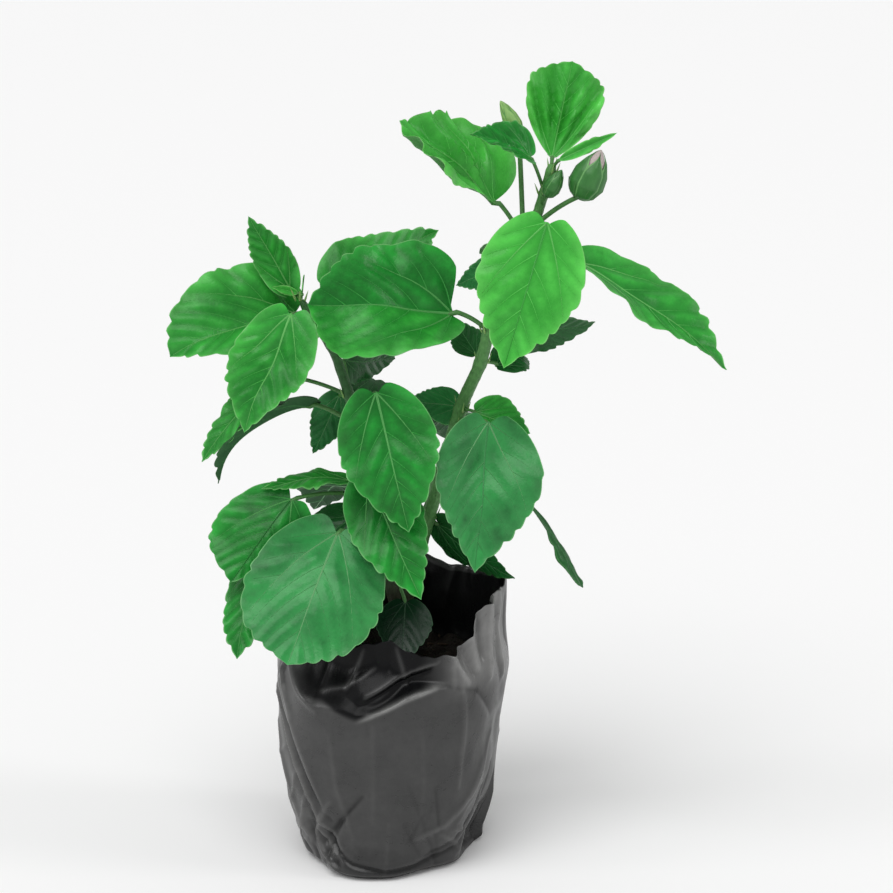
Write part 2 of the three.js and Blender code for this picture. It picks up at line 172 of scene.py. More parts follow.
class Draft:
    """Points and faces of one piece, gathered part by part in millimetres."""

    SMALL_SHARE = 0.16
    MARGIN = 0.03

    def __init__(self) -> None:
        """Starts an empty draft."""
        self.points: list[Array] = []
        self.patches: list[Patch] = []
        self.materials: list[bpy.types.Material] = []
        self.count = 0
        self.charts = 0

    def slot(self, material: bpy.types.Material) -> int:
        """Index of a material on this piece."""
        if material not in self.materials:
            self.materials.append(material)
        return self.materials.index(material)

    def put(self, points: Array) -> Array:
        """Adds points.

        Args:
            points: Shape (..., 3), in millimetres.

        Returns:
            Their indices, shaped as the points were.
        """
        flat = points.reshape(-1, 3)
        index = np.arange(self.count, self.count + len(flat)).reshape(points.shape[:-1])
        self.points.append(flat)
        self.count += len(flat)
        return index

    def chart(self) -> int:
        """Number of a new chart."""
        self.charts += 1
        return self.charts - 1

    def faces(
        self,
        index: Array,
        material: bpy.types.Material,
        chart: Array | None = None,
        surface: Array | None = None,
        zone: Array | None = None,
        around: bool = False,
        turned: bool = False,
        small: bool = False,
        chart_id: int | None = None,
        keep: Array | None = None,
    ) -> None:
        """Adds the quads of a grid of points.

        Args:
            index: Grid of point indices, rows by columns.
            material: What they are made of.
            chart: Place of each grid point in the chart, from 0 to 1.
            surface: Coordinates that the material's pattern reads.
            zone: Two shares that the material reads to tell one part of the surface from another.
            around: True if the last column joins the first.
            turned: True if the faces look the other way.
            small: True if the chart may be small.
            chart_id: A chart that other faces share.
            keep: Mask of the quads that are made, rows - 1 by columns - 1.
        """
        rows, cols = index.shape
        if around:
            index = np.concatenate([index, index[:, :1]], axis=1)
            cols += 1
        if chart is None:
            u, v = np.meshgrid(np.linspace(0, 1, cols), np.linspace(0, 1, rows))
            chart = np.stack([u, v], -1)
        if surface is None:
            surface = chart
        if zone is None:
            zone = np.zeros_like(chart)

        def corners(grid: Array) -> Array:
            """Values at the four corners of every quad that is made."""
            four = [grid[:-1, :-1], grid[:-1, 1:], grid[1:, 1:], grid[1:, :-1]]
            if turned:
                four.reverse()
            stack = np.stack(four, 2)
            return stack.reshape(-1, *stack.shape[2:]) if keep is None else stack[keep]

        number = self.chart() if chart_id is None else chart_id
        maps = (corners(chart), corners(surface), corners(zone))
        self.patches.append(Patch(corners(index), self.slot(material), *maps, small, number))

    def fan(self, ring: Array, centre: Array, material: bpy.types.Material, turned: bool = False) -> None:
        """Closes a ring of point indices with triangles.

        Args:
            ring: Indices round the ring.
            centre: The middle point, in millimetres.
            material: What the cap is made of.
            turned: True if it looks the other way.
        """
        middle = int(self.put(centre.reshape(1, 3))[0])
        after = np.roll(ring, -1)
        pair = (after, ring) if turned else (ring, after)
        corners = np.stack([*pair, np.full(len(ring), middle)], -1)
        angle = np.arange(len(ring)) * 2 * math.pi / len(ring)
        rim = np.stack([0.5 + 0.5 * np.cos(angle), 0.5 + 0.5 * np.sin(angle)], -1)
        rims = (np.roll(rim, -1, 0), rim) if turned else (rim, np.roll(rim, -1, 0))
        chart = np.stack([*rims, np.full_like(rim, 0.5)], 1)
        self.patches.append(Patch(corners, self.slot(material), chart, chart, 0 * chart, True, self.chart()))

    def tube(
        self,
        path: Array,
        radii: Array,
        material: bpy.types.Material,
        sides: int = 8,
        small: bool = True,
        relief: Callable[[Array, Array], Array] | None = None,
        shade: Array | None = None,
    ) -> None:
        """Adds a round limb with closed ends.

        Its pattern runs round and along it, in tenths of a metre.

        Args:
            path: Points along its middle.
            radii: Radius at each point.
            material: What it is made of.
            sides: How many sides it has.
            small: True if its chart may be small.
            relief: Gives a share of the radius at (length along, angle round).
            shade: First share of the zone map at each point.
        """
        tangent = unit(np.gradient(path, axis=0))
        side = np.empty_like(path)
        start = np.array([0.0, 1.0, 0.0]) if abs(tangent[0, 1]) < 0.9 else np.array([1.0, 0.0, 0.0])
        side[0] = unit(start - tangent[0] * (start @ tangent[0]))
        for i in range(1, len(path)):
            side[i] = unit(side[i - 1] - tangent[i] * (side[i - 1] @ tangent[i]))
        other = np.cross(tangent, side)
        angle = np.arange(sides) * 2 * math.pi / sides
        along = np.concatenate([[0], np.cumsum(np.linalg.norm(np.diff(path, axis=0), axis=1))])
        size = np.broadcast_to(np.asarray(radii, float)[:, None], (len(path), sides))
        if relief is not None:
            size = size * (1 + relief(along[:, None], angle[None, :]))
        cos, sin = np.cos(angle)[None, :, None], np.sin(angle)[None, :, None]
        ring = size[..., None] * (cos * side[:, None] + sin * other[:, None])
        index = self.put(path[:, None] + ring)
        u, v = np.meshgrid(np.linspace(0, 1, sides + 1), along)
        surface = np.stack([u * 2 * math.pi * float(np.mean(radii)), v], -1) / PATTERN
        chart = np.stack([u, v / max(along[-1], 1e-6)], -1)
        zone = None if shade is None else np.broadcast_to(shade[:, None, None], chart.shape)
        self.faces(index, material, chart, surface, zone, around=True, small=small)
        self.fan(index[0], path[0], material, turned=True)
        self.fan(index[-1], path[-1], material)

    def _cells(self, count: int, low: float, high: float) -> Array:
        """Corners and sizes of the cells that share a band of the bake map."""
        cols = max(1, math.ceil(math.sqrt(count / (high - low))))
        rows = max(1, math.ceil(count / cols))
        k = np.arange(count)
        width, height = np.full(count, 1 / cols), np.full(count, (high - low) / rows)
        return np.stack([k % cols / cols, low + (k // cols) * (high - low) / rows, width, height], -1)

    def build(self, name: str, sharp: float | None = None) -> bpy.types.Object:
        """Makes the object.

        Args:
            name: Its name.
            sharp: Edges steeper than this many degrees stay sharp.

        Returns:
            The new object, linked into the scene.
        """
        sizes = {patch.chart_id: patch.small for patch in self.patches}
        small = [k for k, s in sizes.items() if s]
        large = [k for k, s in sizes.items() if not s]
        split = self.SMALL_SHARE if small and large else (1.0 if small else 0.0)
        place: dict[int, Array] = {}
        for ids, low, high in ((small, 0.0, split), (large, split, 1.0)):
            if ids:
                place |= dict(zip(ids, self._cells(len(ids), low, high)))
        mesh = bpy.data.meshes.new(name)
        points = np.concatenate(self.points) * MM
        loops = np.concatenate([p.corners.ravel() for p in self.patches]).astype(np.int32)
        sides = np.concatenate([np.full(len(p.corners), p.corners.shape[1]) for p in self.patches])
        slots = np.concatenate([np.full(len(p.corners), p.slot) for p in self.patches])
        firsts = np.concatenate([[0], np.cumsum(sides)[:-1]])
        mesh.vertices.add(len(points))
        mesh.vertices.foreach_set("co", points.astype(np.float32).ravel())
        mesh.loops.add(len(loops))
        mesh.loops.foreach_set("vertex_index", loops)
        mesh.polygons.add(len(sides))
        mesh.polygons.foreach_set("loop_start", firsts.astype(np.int32))
        mesh.polygons.foreach_set("material_index", slots.astype(np.int32))
        mesh.polygons.foreach_set("use_smooth", np.ones(len(sides), bool))
        charts = []
        for p in self.patches:
            u, v, du, dv = place[p.chart_id]
            inside = self.MARGIN + np.clip(p.chart, 0, 1) * (1 - 2 * self.MARGIN)
            charts.append((np.array([u, v]) + inside * np.array([du, dv])).reshape(-1, 2))
        surfaces = [p.surface.reshape(-1, 2) for p in self.patches]
        zones = [p.zone.reshape(-1, 2) for p in self.patches]
        for title, values in ((BAKE_MAP, charts), (SURFACE_MAP, surfaces), (ZONE_MAP, zones)):
            layer = mesh.uv_layers.new(name=title)
            layer.data.foreach_set("uv", np.concatenate(values).astype(np.float32).ravel())
        mesh.update(calc_edges=True)
        mesh.validate()
        if sharp is not None:
            mesh.set_sharp_from_angle(angle=math.radians(sharp))
        for material in self.materials:
            mesh.materials.append(material)
        obj = bpy.data.objects.new(name, mesh)
        bpy.context.scene.collection.objects.link(obj)
        return obj


def settle(obj: bpy.types.Object, slot: str, nodes: Sequence[str] = ()) -> None:
    """Ties a piece to the frame and reports it.

    Args:
        obj: The piece.
        slot: Name of the material slot meant for its finish; not used.
        nodes: The solids that it stands for.
    """
    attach(obj, BODY)
    if nodes:
        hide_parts(*nodes)
    log.info("%s: %d faces, for %s", obj.name, len(obj.data.polygons), ", ".join(nodes) or "no solid")


# ---------------------------------------------------------------- materials
class Tree:
    """Places and joins the nodes of one node tree."""

    def __init__(self, tree: bpy.types.NodeTree) -> None:
        """Holds the tree."""
        self.tree = tree

    def add(self, kind: str, inputs: Inputs | None = None, **settings: object) -> bpy.types.Node:
        """Adds a node.

        Args:
            kind: The node's type name.
            inputs: Values, or output sockets to join, by input name.
            **settings: Properties of the node.

        Returns:
            The node.
        """
        node = self.tree.nodes.new(kind)
        for key, value in settings.items():
            setattr(node, key, value)
        for key, value in (inputs or {}).items():
            if isinstance(value, bpy.types.NodeSocket):
                self.tree.links.new(value, node.inputs[key])
            else:
                node.inputs[key].default_value = value
        return node

    def math(self, operation: str, a: object, b: object = 0.0) -> bpy.types.NodeSocket:
        """Output of a Math node on two values or sockets."""
        return self.add("ShaderNodeMath", {0: a, 1: b}, operation=operation).outputs[0]

    def blend(self, share: object, a: object, b: object) -> bpy.types.NodeSocket:
        """Output of a colour Mix node.

        Args:
            share: How much of b shows.
            a: First colour.
            b: Second colour.

        Returns:
            The mixed colour.
        """
        node = self.add("ShaderNodeMix", data_type="RGBA")
        for socket, value in zip((node.inputs[0], node.inputs[6], node.inputs[7]), (share, a, b)):
            if isinstance(value, bpy.types.NodeSocket):
                self.tree.links.new(value, socket)
            else:
                socket.default_value = (*value, 1.0) if isinstance(value, tuple) else value
        return node.outputs[2]

    def ranged(
        self, value: object, low: float, high: float, start: float = 0.0, end: float = 1.0
    ) -> bpy.types.NodeSocket:
        """Output of a Map Range node.

        Args:
            value: What is mapped.
            low: The output at the start.
            high: The output at the end.
            start: Where the range starts.
            end: Where it ends.

        Returns:
            The mapped value.
        """
        limits = {"From Min": start, "From Max": end, "To Min": low, "To Max": high}
        return self.add("ShaderNodeMapRange", {"Value": value, **limits}).outputs[0]

    def noise(self, place: object, size: object, detail: float, roughness: float = 0.5) -> bpy.types.Node:
        """A Noise Texture node."""
        inputs = {"Vector": place, "Scale": size, "Detail": detail, "Roughness": roughness}
        return self.add("ShaderNodeTexNoise", inputs)

    def vector(self, operation: str, a: object, b: object) -> bpy.types.NodeSocket:
        """Output of a Vector Math node on two vectors or sockets."""
        return self.add("ShaderNodeVectorMath", {0: a, 1: b}, operation=operation).outputs[0]

    def map(self, name: str) -> bpy.types.NodeSocket:
        """Coordinates of one of the mesh's maps."""
        return self.add("ShaderNodeUVMap", uv_map=name).outputs[0]

    def bump(self, height: object, strength: float, distance: float) -> bpy.types.NodeSocket:
        """Normal output of a Bump node."""
        inputs = {"Height": height, "Strength": strength, "Distance": distance}
        return self.add("ShaderNodeBump", inputs).outputs[0]


def effect(
    name: str, inputs: dict[str, tuple[str, object]], outputs: dict[str, str]
) -> tuple[bpy.types.NodeTree, Tree, dict]:
    """Starts a node group.

    Args:
        name: Name of the group.
        inputs: Socket kind and default value by name.
        outputs: Socket kind by name.

    Returns:
        The group, its tree helper, and its input sockets by name.
    """
    group = bpy.data.node_groups.new(name, "ShaderNodeTree")
    for title, (kind, value) in inputs.items():
        socket = group.interface.new_socket(name=title, in_out="INPUT", socket_type=f"NodeSocket{kind}")
        if value is not None:
            socket.default_value = value
    for title, kind in outputs.items():
        group.interface.new_socket(name=title, in_out="OUTPUT", socket_type=f"NodeSocket{kind}")
    tree = Tree(group)
    source = tree.add("NodeGroupInput")
    return group, tree, {title: source.outputs[title] for title in inputs}


class Effects:
    """Node groups that several finishes share."""

    def __init__(self) -> None:
        """Builds every group once."""
        self.mottle = self._mottle()
        self.net = self._net()
        self.grit = self._grit()
        self.zones = self._zones()

    @staticmethod
    def _zones() -> bpy.types.NodeTree:
        """A colour that turns to a second near one side of the zone map and to a third near the other."""
        group, tree, given = effect(
            "zoned_colour",
            {
                "Zone": ("Vector", None),
                "Colour": ("Color", (1, 1, 1, 1)),
                "Low": ("Color", (0, 0, 0, 1)),
                "Low Share": ("Float", 0.5),
                "High": ("Color", (0, 0, 0, 1)),
                "High Share": ("Float", 0.0),
            },
            {"Colour": "Color"},
        )
        axes = tree.add("ShaderNodeSeparateXYZ", {0: given["Zone"]})
        near = tree.math("POWER", tree.math("SUBTRACT", 1.0, axes.outputs[0]), 1.6)
        first = tree.blend(tree.math("MULTIPLY", near, given["Low Share"]), given["Colour"], given["Low"])
        far = tree.math("MULTIPLY", tree.math("POWER", axes.outputs[1], 5.0), given["High Share"])
        tree.add("NodeGroupOutput", {"Colour": tree.blend(far, first, given["High"])})
        return group

    @staticmethod
    def _mottle() -> bpy.types.NodeTree:
        """Two colours that drift into each other over large and small clouds."""
        group, tree, given = effect(
            "cloudy_colour",
            {
                "Vector": ("Vector", None),
                "Size": ("Float", 8.0),
                "Contrast": ("Float", 0.5),
                "Colour": ("Color", (1, 1, 1, 1)),
                "Drift": ("Color", (0, 0, 0, 1)),
            },
            {"Colour": "Color", "Mask": "Float"},
        )
        large = tree.noise(given["Vector"], given["Size"], 4.0, 0.55).outputs[0]
        fine = tree.noise(given["Vector"], tree.math("MULTIPLY", given["Size"], 6.0), 3.0, 0.6).outputs[0]
        both = tree.math("ADD", tree.math("MULTIPLY", large, 0.75), tree.math("MULTIPLY", fine, 0.25))
        spread = tree.ranged(both, 0.0, 1.0, 0.36, 0.64)
        mask = tree.math("MULTIPLY", spread, given["Contrast"])
        colour = tree.blend(mask, given["Colour"], given["Drift"])
        tree.add("NodeGroupOutput", {"Colour": colour, "Mask": spread})
        return group

    @staticmethod
    def _net() -> bpy.types.NodeTree:
        """Fine net of the smallest veins."""
        group, tree, given = effect(
            "vein_net",
            {"Vector": ("Vector", None), "Size": ("Float", 30.0)},
            {"Line": "Float", "Height": "Float"},
        )
        warp = tree.vector("MULTIPLY", tree.noise(given["Vector"], 9.0, 2.0).outputs[1], (0.06, 0.06, 0.0))
        place = tree.vector("ADD", given["Vector"], warp)
        inputs = {"Vector": place, "Scale": given["Size"]}
        away = tree.add("ShaderNodeTexVoronoi", inputs, feature="DISTANCE_TO_EDGE").outputs[0]
        line, height = tree.ranged(away, 1.0, 0.0, 0.0, 0.12), tree.ranged(away, 0.0, 1.0, 0.0, 0.3)
        tree.add("NodeGroupOutput", {"Line": line, "Height": height})
        return group

    @staticmethod
    def _grit() -> bpy.types.NodeTree:
        """Fine uneven height, stretched along one axis if wanted."""
        group, tree, given = effect(
            "fine_height",
            {"Vector": ("Vector", None), "Stretch": ("Vector", (1.0, 1.0, 1.0)), "Size": ("Float", 40.0)},
            {"Height": "Float"},
        )
        place = tree.vector("MULTIPLY", given["Vector"], given["Stretch"])
        noise = tree.noise(place, given["Size"], 5.0, 0.6)
        tree.add("NodeGroupOutput", {"Height": noise.outputs[0]})
        return group


def start_material(
    name: str, roughness: float, specular: float = 0.5
) -> tuple[bpy.types.Material, Tree, bpy.types.Node]:
    """Starts a node material.

    Args:
        name: Its name.
        roughness: Roughness all over.
        specular: Specular level all over.

    Returns:
        The material, its tree helper and its Principled shader.
    """
    material = bpy.data.materials.new(name)
    material.use_nodes = True
    tree = Tree(material.node_tree)
    shader = next(n for n in material.node_tree.nodes if n.type == "BSDF_PRINCIPLED")
    shader.inputs["Roughness"].default_value = roughness
    shader.inputs["Specular IOR Level"].default_value = specular
    return material, tree, shader


def place_effect(tree: Tree, group: bpy.types.NodeTree, inputs: dict[str, object]) -> bpy.types.Node:
    """Places a node group.

    Args:
        tree: Where it goes.
        group: The group.
        inputs: Values, or output sockets to join, by input name.

    Returns:
        The group's node.
    """
    node = tree.tree.nodes.new("ShaderNodeGroup")
    node.node_tree = group
    for key, value in inputs.items():
        if isinstance(value, bpy.types.NodeSocket):
            tree.tree.links.new(value, node.inputs[key])
        elif isinstance(value, tuple) and len(node.inputs[key].default_value) == 4:
            node.inputs[key].default_value = (*value, 1.0)
        else:
            node.inputs[key].default_value = value
    return node


@dataclass(frozen=True)
class LeafFinish:
    """Satin leaf face: cloudy green, a faint vein net, fine relief, a vein halo mostly of painted shade, a
    painted edge highlight.
    """

    name: str
    colour: Colour
    drift: Colour
    line: Colour
    halo_and_shade: Colour
    halo_and_shade_share: float = 0.5
    roughness: float = 0.33
    cloud_size: float = 3.4
    contrast: float = 1.05
    net_size: float = 44.0
    net: float = 0.07
    relief: float = 0.14
    edge_highlight_share: float = 0.3
    specular: float = 0.26

    def make(self, effects: Effects) -> bpy.types.Material:
        """Builds the material.

        Args:
            effects: The shared node groups.

        Returns:
            The material.
        """
        material, tree, shader = start_material(self.name, self.roughness, self.specular)
        place = tree.map(SURFACE_MAP)
        clouds = {"Size": self.cloud_size, "Contrast": self.contrast}
        colours = {"Colour": self.colour, "Drift": self.drift}
        cloud = place_effect(tree, effects.mottle, {"Vector": place, **clouds, **colours})
        net = place_effect(tree, effects.net, {"Vector": place, "Size": self.net_size})
        share = tree.math("MULTIPLY", net.outputs["Line"], self.net)
        colour = tree.blend(share, cloud.outputs["Colour"], self.line)
        # Near veins and in pleat furrows the colour turns to the halo: painted shade on most tones, a paler
        # real tone on grown tops and undersides.
        low = {"Low": self.halo_and_shade, "Low Share": self.halo_and_shade_share}
        # Towards the edge the colour turns to the vein line colour: a painted highlight.
        high = {"High": self.line, "High Share": self.edge_highlight_share}
        zone = {"Zone": tree.map(ZONE_MAP), "Colour": colour}
        zoned = place_effect(tree, effects.zones, {**zone, **low, **high})
        gloss = tree.ranged(cloud.outputs["Mask"], self.roughness - 0.05, self.roughness + 0.08)
        normal = tree.bump(net.outputs["Height"], self.relief, FINE_RELIEF)
        links = tree.tree.links
        links.new(zoned.outputs["Colour"], shader.inputs["Base Color"])
        links.new(gloss, shader.inputs["Roughness"])
        links.new(normal, shader.inputs["Normal"])
        return material


@dataclass(frozen=True)
class PlainFinish:
    """Small part with cloudy colour and a fine stretched relief.

    Where it has a foot colour, it turns to it at the low side of the zone map.
    """

    name: str
    colour: Colour
    drift: Colour
    roughness: float
    size: float = 30.0
    stretch: tuple[float, float, float] = (1.0, 1.0, 1.0)
    relief: float = 0.3
    depth: float = FINE_RELIEF
    contrast: float = 0.8
    specular: float = 0.45
    foot: Colour | None = None

    def make(self, effects: Effects) -> bpy.types.Material:
        """Builds the material.

        Args:
            effects: The shared node groups.

        Returns:
            The material.
        """
        material, tree, shader = start_material(self.name, self.roughness, self.specular)
        place = tree.map(SURFACE_MAP)
        clouds = {"Size": self.size, "Contrast": self.contrast, "Colour": self.colour, "Drift": self.drift}
        colour = place_effect(tree, effects.mottle, {"Vector": place, **clouds}).outputs["Colour"]
        fine = {"Vector": place, "Stretch": self.stretch, "Size": self.size * 4}
        grit = place_effect(tree, effects.grit, fine)
        if self.foot is not None:
            low, high = {"Low": self.foot, "Low Share": 1.0}, {"High": self.foot, "High Share": 0.0}
            values = {"Zone": tree.map(ZONE_MAP), "Colour": colour, **low, **high}
            colour = place_effect(tree, effects.zones, values).outputs["Colour"]
        tree.tree.links.new(colour, shader.inputs["Base Color"])
        tree.tree.links.new(tree.bump(grit.outputs[0], self.relief, self.depth), shader.inputs["Normal"])
        return material


class Tone(Enum):
    """Age of a leaf, which sets the colours of its two faces and its veins; SHADE is painted shade, not an
    age.
    """

    FRESH = "fresh"
    BRIGHT = "bright"
    RICH = "rich"
    GROWN = "grown"
    DEEP = "deep"
    SHADE = "shade"


def mixed(a: Colour, b: Colour, share: float) -> Colour:
    """A colour that lies a share of the way from b to a."""
    return tuple(share * p + (1 - share) * q for p, q in zip(a, b))


# The fifth colour of each is the halo near veins and in pleat furrows: darker painted shade on the fresh,
# bright, rich, deep and shade tops, a paler real tone on the grown top and the undersides.
LEAF_TOPS = {
    Tone.FRESH: LeafFinish(
        "leaf_fresh_top", (0.1, 0.66, 0.085), (0.032, 0.33, 0.03), (0.18, 0.68, 0.13),
        (0.02, 0.26, 0.022), 0.75,
    ),
    Tone.BRIGHT: LeafFinish(
        "leaf_bright_top", (0.055, 0.52, 0.062), (0.01, 0.2, 0.018), (0.13, 0.52, 0.11),
        (0.006, 0.15, 0.013), 0.75,
    ),
    Tone.RICH: LeafFinish(
        "leaf_rich_top", (0.02, 0.41, 0.044), (0.003, 0.13, 0.011), (0.06, 0.4, 0.07),
        (0.002, 0.1, 0.009), 0.72,
    ),
    Tone.GROWN: LeafFinish(
        "leaf_grown_top", (0.024, 0.275, 0.058), (0.006, 0.1, 0.02), (0.08, 0.31, 0.1),
        (0.055, 0.32, 0.09), 0.4,
    ),
    Tone.DEEP: LeafFinish(
        "leaf_deep_top", (0.016, 0.15, 0.03), (0.007, 0.08, 0.014), (0.04, 0.2, 0.05),
        (0.004, 0.06, 0.01), 0.4,
    ),
    Tone.SHADE: LeafFinish(
        "leaf_shade_top", (0.004, 0.035, 0.012), (0.002, 0.02, 0.007), (0.008, 0.05, 0.016),
        (0.002, 0.02, 0.006), 0.3,
    ),
}
LEAF_UNDERS = {
    Tone.FRESH: LeafFinish(
        "leaf_young_underside", (0.05, 0.25, 0.05), (0.03, 0.16, 0.03), (0.12, 0.32, 0.1),
        (0.08, 0.3, 0.07), 0.3, 0.6,
    ),
    Tone.DEEP: LeafFinish(
        "leaf_grown_underside", (0.03, 0.12, 0.04), (0.018, 0.075, 0.026), (0.09, 0.2, 0.09),
        (0.05, 0.16, 0.06), 0.3, 0.65,
    ),
}
UNDER_OF = {
    Tone.FRESH: Tone.FRESH, Tone.BRIGHT: Tone.FRESH, Tone.RICH: Tone.DEEP,
    Tone.GROWN: Tone.DEEP, Tone.DEEP: Tone.DEEP, Tone.SHADE: Tone.DEEP,
}
VEINS = {
    Tone.FRESH: PlainFinish("vein_fresh", (0.12, 0.5, 0.1), (0.05, 0.34, 0.04), 0.5),
    Tone.BRIGHT: PlainFinish("vein_bright", (0.13, 0.45, 0.11), (0.07, 0.34, 0.06), 0.5),
    Tone.RICH: PlainFinish("vein_rich", (0.09, 0.37, 0.09), (0.05, 0.27, 0.05), 0.5),
    Tone.GROWN: PlainFinish("vein_grown", (0.13, 0.36, 0.14), (0.09, 0.28, 0.1), 0.5),
    Tone.DEEP: PlainFinish("vein_deep", (0.05, 0.22, 0.06), (0.03, 0.15, 0.035), 0.55),
    Tone.SHADE: PlainFinish("vein_shade", (0.01, 0.06, 0.02), (0.006, 0.04, 0.012), 0.55),
}
SIDE_VEINS = {
    tone: PlainFinish(
        f"side_{vein.name}",
        mixed(vein.colour, LEAF_TOPS[tone].colour, 0.35),
        mixed(vein.drift, LEAF_TOPS[tone].drift, 0.35),
        0.45,
    )
    for tone, vein in VEINS.items()
}
# Dark midrib colour on the upper face, painted as the shade of a groove; the rib itself is raised.
PAINTED_GROOVES = {
    tone: PlainFinish(
        f"groove_{tone.value}", mixed(top.halo_and_shade, top.drift, 0.7), mixed(top.halo_and_shade, top.drift, 0.3), 0.4
    )
    for tone, top in LEAF_TOPS.items()
}
# Paler margin strips and rims of the blades: a painted highlight along the leaf edges.
LIT_MARGINS = {
    Tone.FRESH: PlainFinish("margin_fresh", (0.18, 0.58, 0.13), (0.1, 0.44, 0.08), 0.5),
    Tone.BRIGHT: PlainFinish("margin_bright", (0.15, 0.48, 0.13), (0.08, 0.36, 0.07), 0.5),
    Tone.RICH: PlainFinish("margin_rich", (0.12, 0.4, 0.11), (0.07, 0.3, 0.07), 0.5),
    Tone.GROWN: PlainFinish("margin_grown", (0.14, 0.4, 0.14), (0.08, 0.3, 0.09), 0.5),
    Tone.DEEP: PlainFinish("margin_deep", (0.035, 0.18, 0.04), (0.02, 0.12, 0.025), 0.55),
    Tone.SHADE: PlainFinish("margin_shade", (0.02, 0.08, 0.03), (0.01, 0.05, 0.018), 0.55),
}
DARK_STEM = PlainFinish(
    "dark_stem", (0.04, 0.16, 0.04), (0.018, 0.085, 0.018), 0.45, 40.0, (6.0, 0.7, 1.0), 0.5, 0.0005,
    foot=(0.045, 0.04, 0.022),
)
STEM = PlainFinish(
    "green_stem", (0.1, 0.3, 0.075), (0.05, 0.18, 0.04), 0.45, 40.0, (6.0, 0.7, 1.0), 0.5, 0.0005,
    foot=(0.045, 0.04, 0.022),
)
BARK = PlainFinish(
    "young_bark", (0.06, 0.052, 0.03), (0.035, 0.028, 0.018), 0.75, 30.0, (5.0, 1.0, 1.0), 0.7, 0.0008,
)
STALK = PlainFinish("leaf_stalk", (0.08, 0.25, 0.06), (0.045, 0.15, 0.035), 0.48, 40.0, (4.0, 0.6, 1.0))
STIPULE = PlainFinish("stipule", (0.3, 0.5, 0.16), (0.18, 0.4, 0.1), 0.5)
SEPAL = PlainFinish("bud_sepal", (0.022, 0.14, 0.022), (0.045, 0.2, 0.04), 0.45, 12.0)
SEPAL_EDGE = PlainFinish("bud_sepal_edge", (0.13, 0.34, 0.1), (0.09, 0.27, 0.07), 0.45)
PETAL = PlainFinish("bud_petal", (0.46, 0.42, 0.38), (0.36, 0.26, 0.28), 0.55, 25.0)
# Potting mix and bark crumbs: their own dark browns, darkened further as painted shade deep in the bag.
SHADED_SOIL = PlainFinish(
    "potting_mix", (0.016, 0.011, 0.008), (0.006, 0.005, 0.004), 0.95, 14.0, relief=0.9, depth=0.001,
    specular=0.25,
)
SHADED_CRUMB = PlainFinish(
    "bark_crumb", (0.035, 0.022, 0.013), (0.018, 0.011, 0.007), 0.9, 25.0, relief=0.8, specular=0.25,
)


@dataclass(frozen=True)
class FilmFinish:
    """Black polythene, glossy where smooth, hazy where creased or stretched; the haze holds painted sheen and
    shade.
    """

    name: str = "black_polythene"
    colour: Colour = (0.0035, 0.0036, 0.004)
    haze_sheen_and_shade: Colour = (0.2, 0.2, 0.196)
    roughness: float = 0.3
    specular: float = 0.4
    painted_shade_loss: float = 0.27
    unevenness: float = 0.44
    cloud_size: float = 5.0
    grain_size: float = 16.0
    grain_stretch: tuple[float, float, float] = (1.0, 0.45, 1.0)
    relief: float = 0.2
    depth: float = 0.001

    def make(self, effects: Effects) -> bpy.types.Material:
        """Builds the material.

        Args:
            effects: The shared node groups.

        Returns:
            The material.
        """
        material, tree, shader = start_material(self.name, self.roughness, self.specular)
        place = tree.map(SURFACE_MAP)
        cloud = place_effect(tree, effects.mottle, {"Vector": place, "Size": self.cloud_size}).outputs["Mask"]
        # First zone share: haze with painted sheen and painted shade; second share: painted shade that lowers
        # the shine.
        haze_sheen_and_shade, hidden = tree.add("ShaderNodeSeparateXYZ", {0: tree.map(ZONE_MAP)}).outputs[:2]
        uneven = tree.math("ADD", 1 - self.unevenness / 2, tree.math("MULTIPLY", cloud, self.unevenness))
        colour = tree.blend(tree.math("MULTIPLY", haze_sheen_and_shade, uneven), self.colour, self.haze_sheen_and_shade)
        gloss = tree.ranged(cloud, self.roughness - 0.06, self.roughness + 0.12)
        shine = tree.math("SUBTRACT", self.specular, tree.math("MULTIPLY", hidden, self.painted_shade_loss))
        grain = {"Vector": place, "Stretch": self.grain_stretch, "Size": self.grain_size}
        fine = place_effect(tree, effects.grit, grain)
        normal = tree.bump(fine.outputs[0], self.relief, self.depth)
        sockets = {"Base Color": colour, "Roughness": gloss, "Specular IOR Level": shine, "Normal": normal}
        for name, value in sockets.items():
            tree.tree.links.new(value, shader.inputs[name])
        return material


class Finishes:
    """Every material of the plant, made once and handed out by finish."""

    def __init__(self) -> None:
        """Builds the shared effects."""
        self.effects = Effects()
        self.made: dict[str, bpy.types.Material] = {}

    def get(self, finish: LeafFinish | PlainFinish | FilmFinish) -> bpy.types.Material:
        """The material of a finish."""
        if finish.name not in self.made:
            self.made[finish.name] = finish.make(self.effects)
        return self.made[finish.name]


# ------------------------------------------------------------------- shoots
@dataclass(frozen=True)
class Shoot:
    """A leaning shoot: named points from the fork up, and its two radii."""

    path: tuple[tuple[float, float, float], ...]
    thick: tuple[float, float]

    @property
    def top(self) -> float:
        """Height of its tip."""
        return self.path[-1][2]

    def at(self, z: Array | float) -> Array:
        """Points of the shoot at heights."""
        path = np.array(self.path)
        z = np.asarray(z, float)
        return np.stack([np.interp(z, path[:, 2], path[:, 0]), np.interp(z, path[:, 2], path[:, 1]), z], -1)

    def radius(self, z: Array | float) -> Array:
        """Radius of the shoot at heights."""
        return np.interp(z, [self.path[0][2], self.top], self.thick)


FORK = (5.0, 0.0, 134.0)
SOIL_TOP = 112.0
LEFT = Shoot(
    (FORK, (-4, -2, 171), (-12, -3, 211), (-22, -2, 261), (-31, 0, 288), (-50, 0, 318)), (4.4, 2.3),
)
RIGHT = Shoot(
    (
        FORK, (13, 2, 166), (24, 3, 204), (40, 3, 259), (50, 2, 281),
        (57, 1, 310), (66, 0, 338), (80, 0, 362), (89, 0, 392),
    ),
    (4.7, 2.7),
)


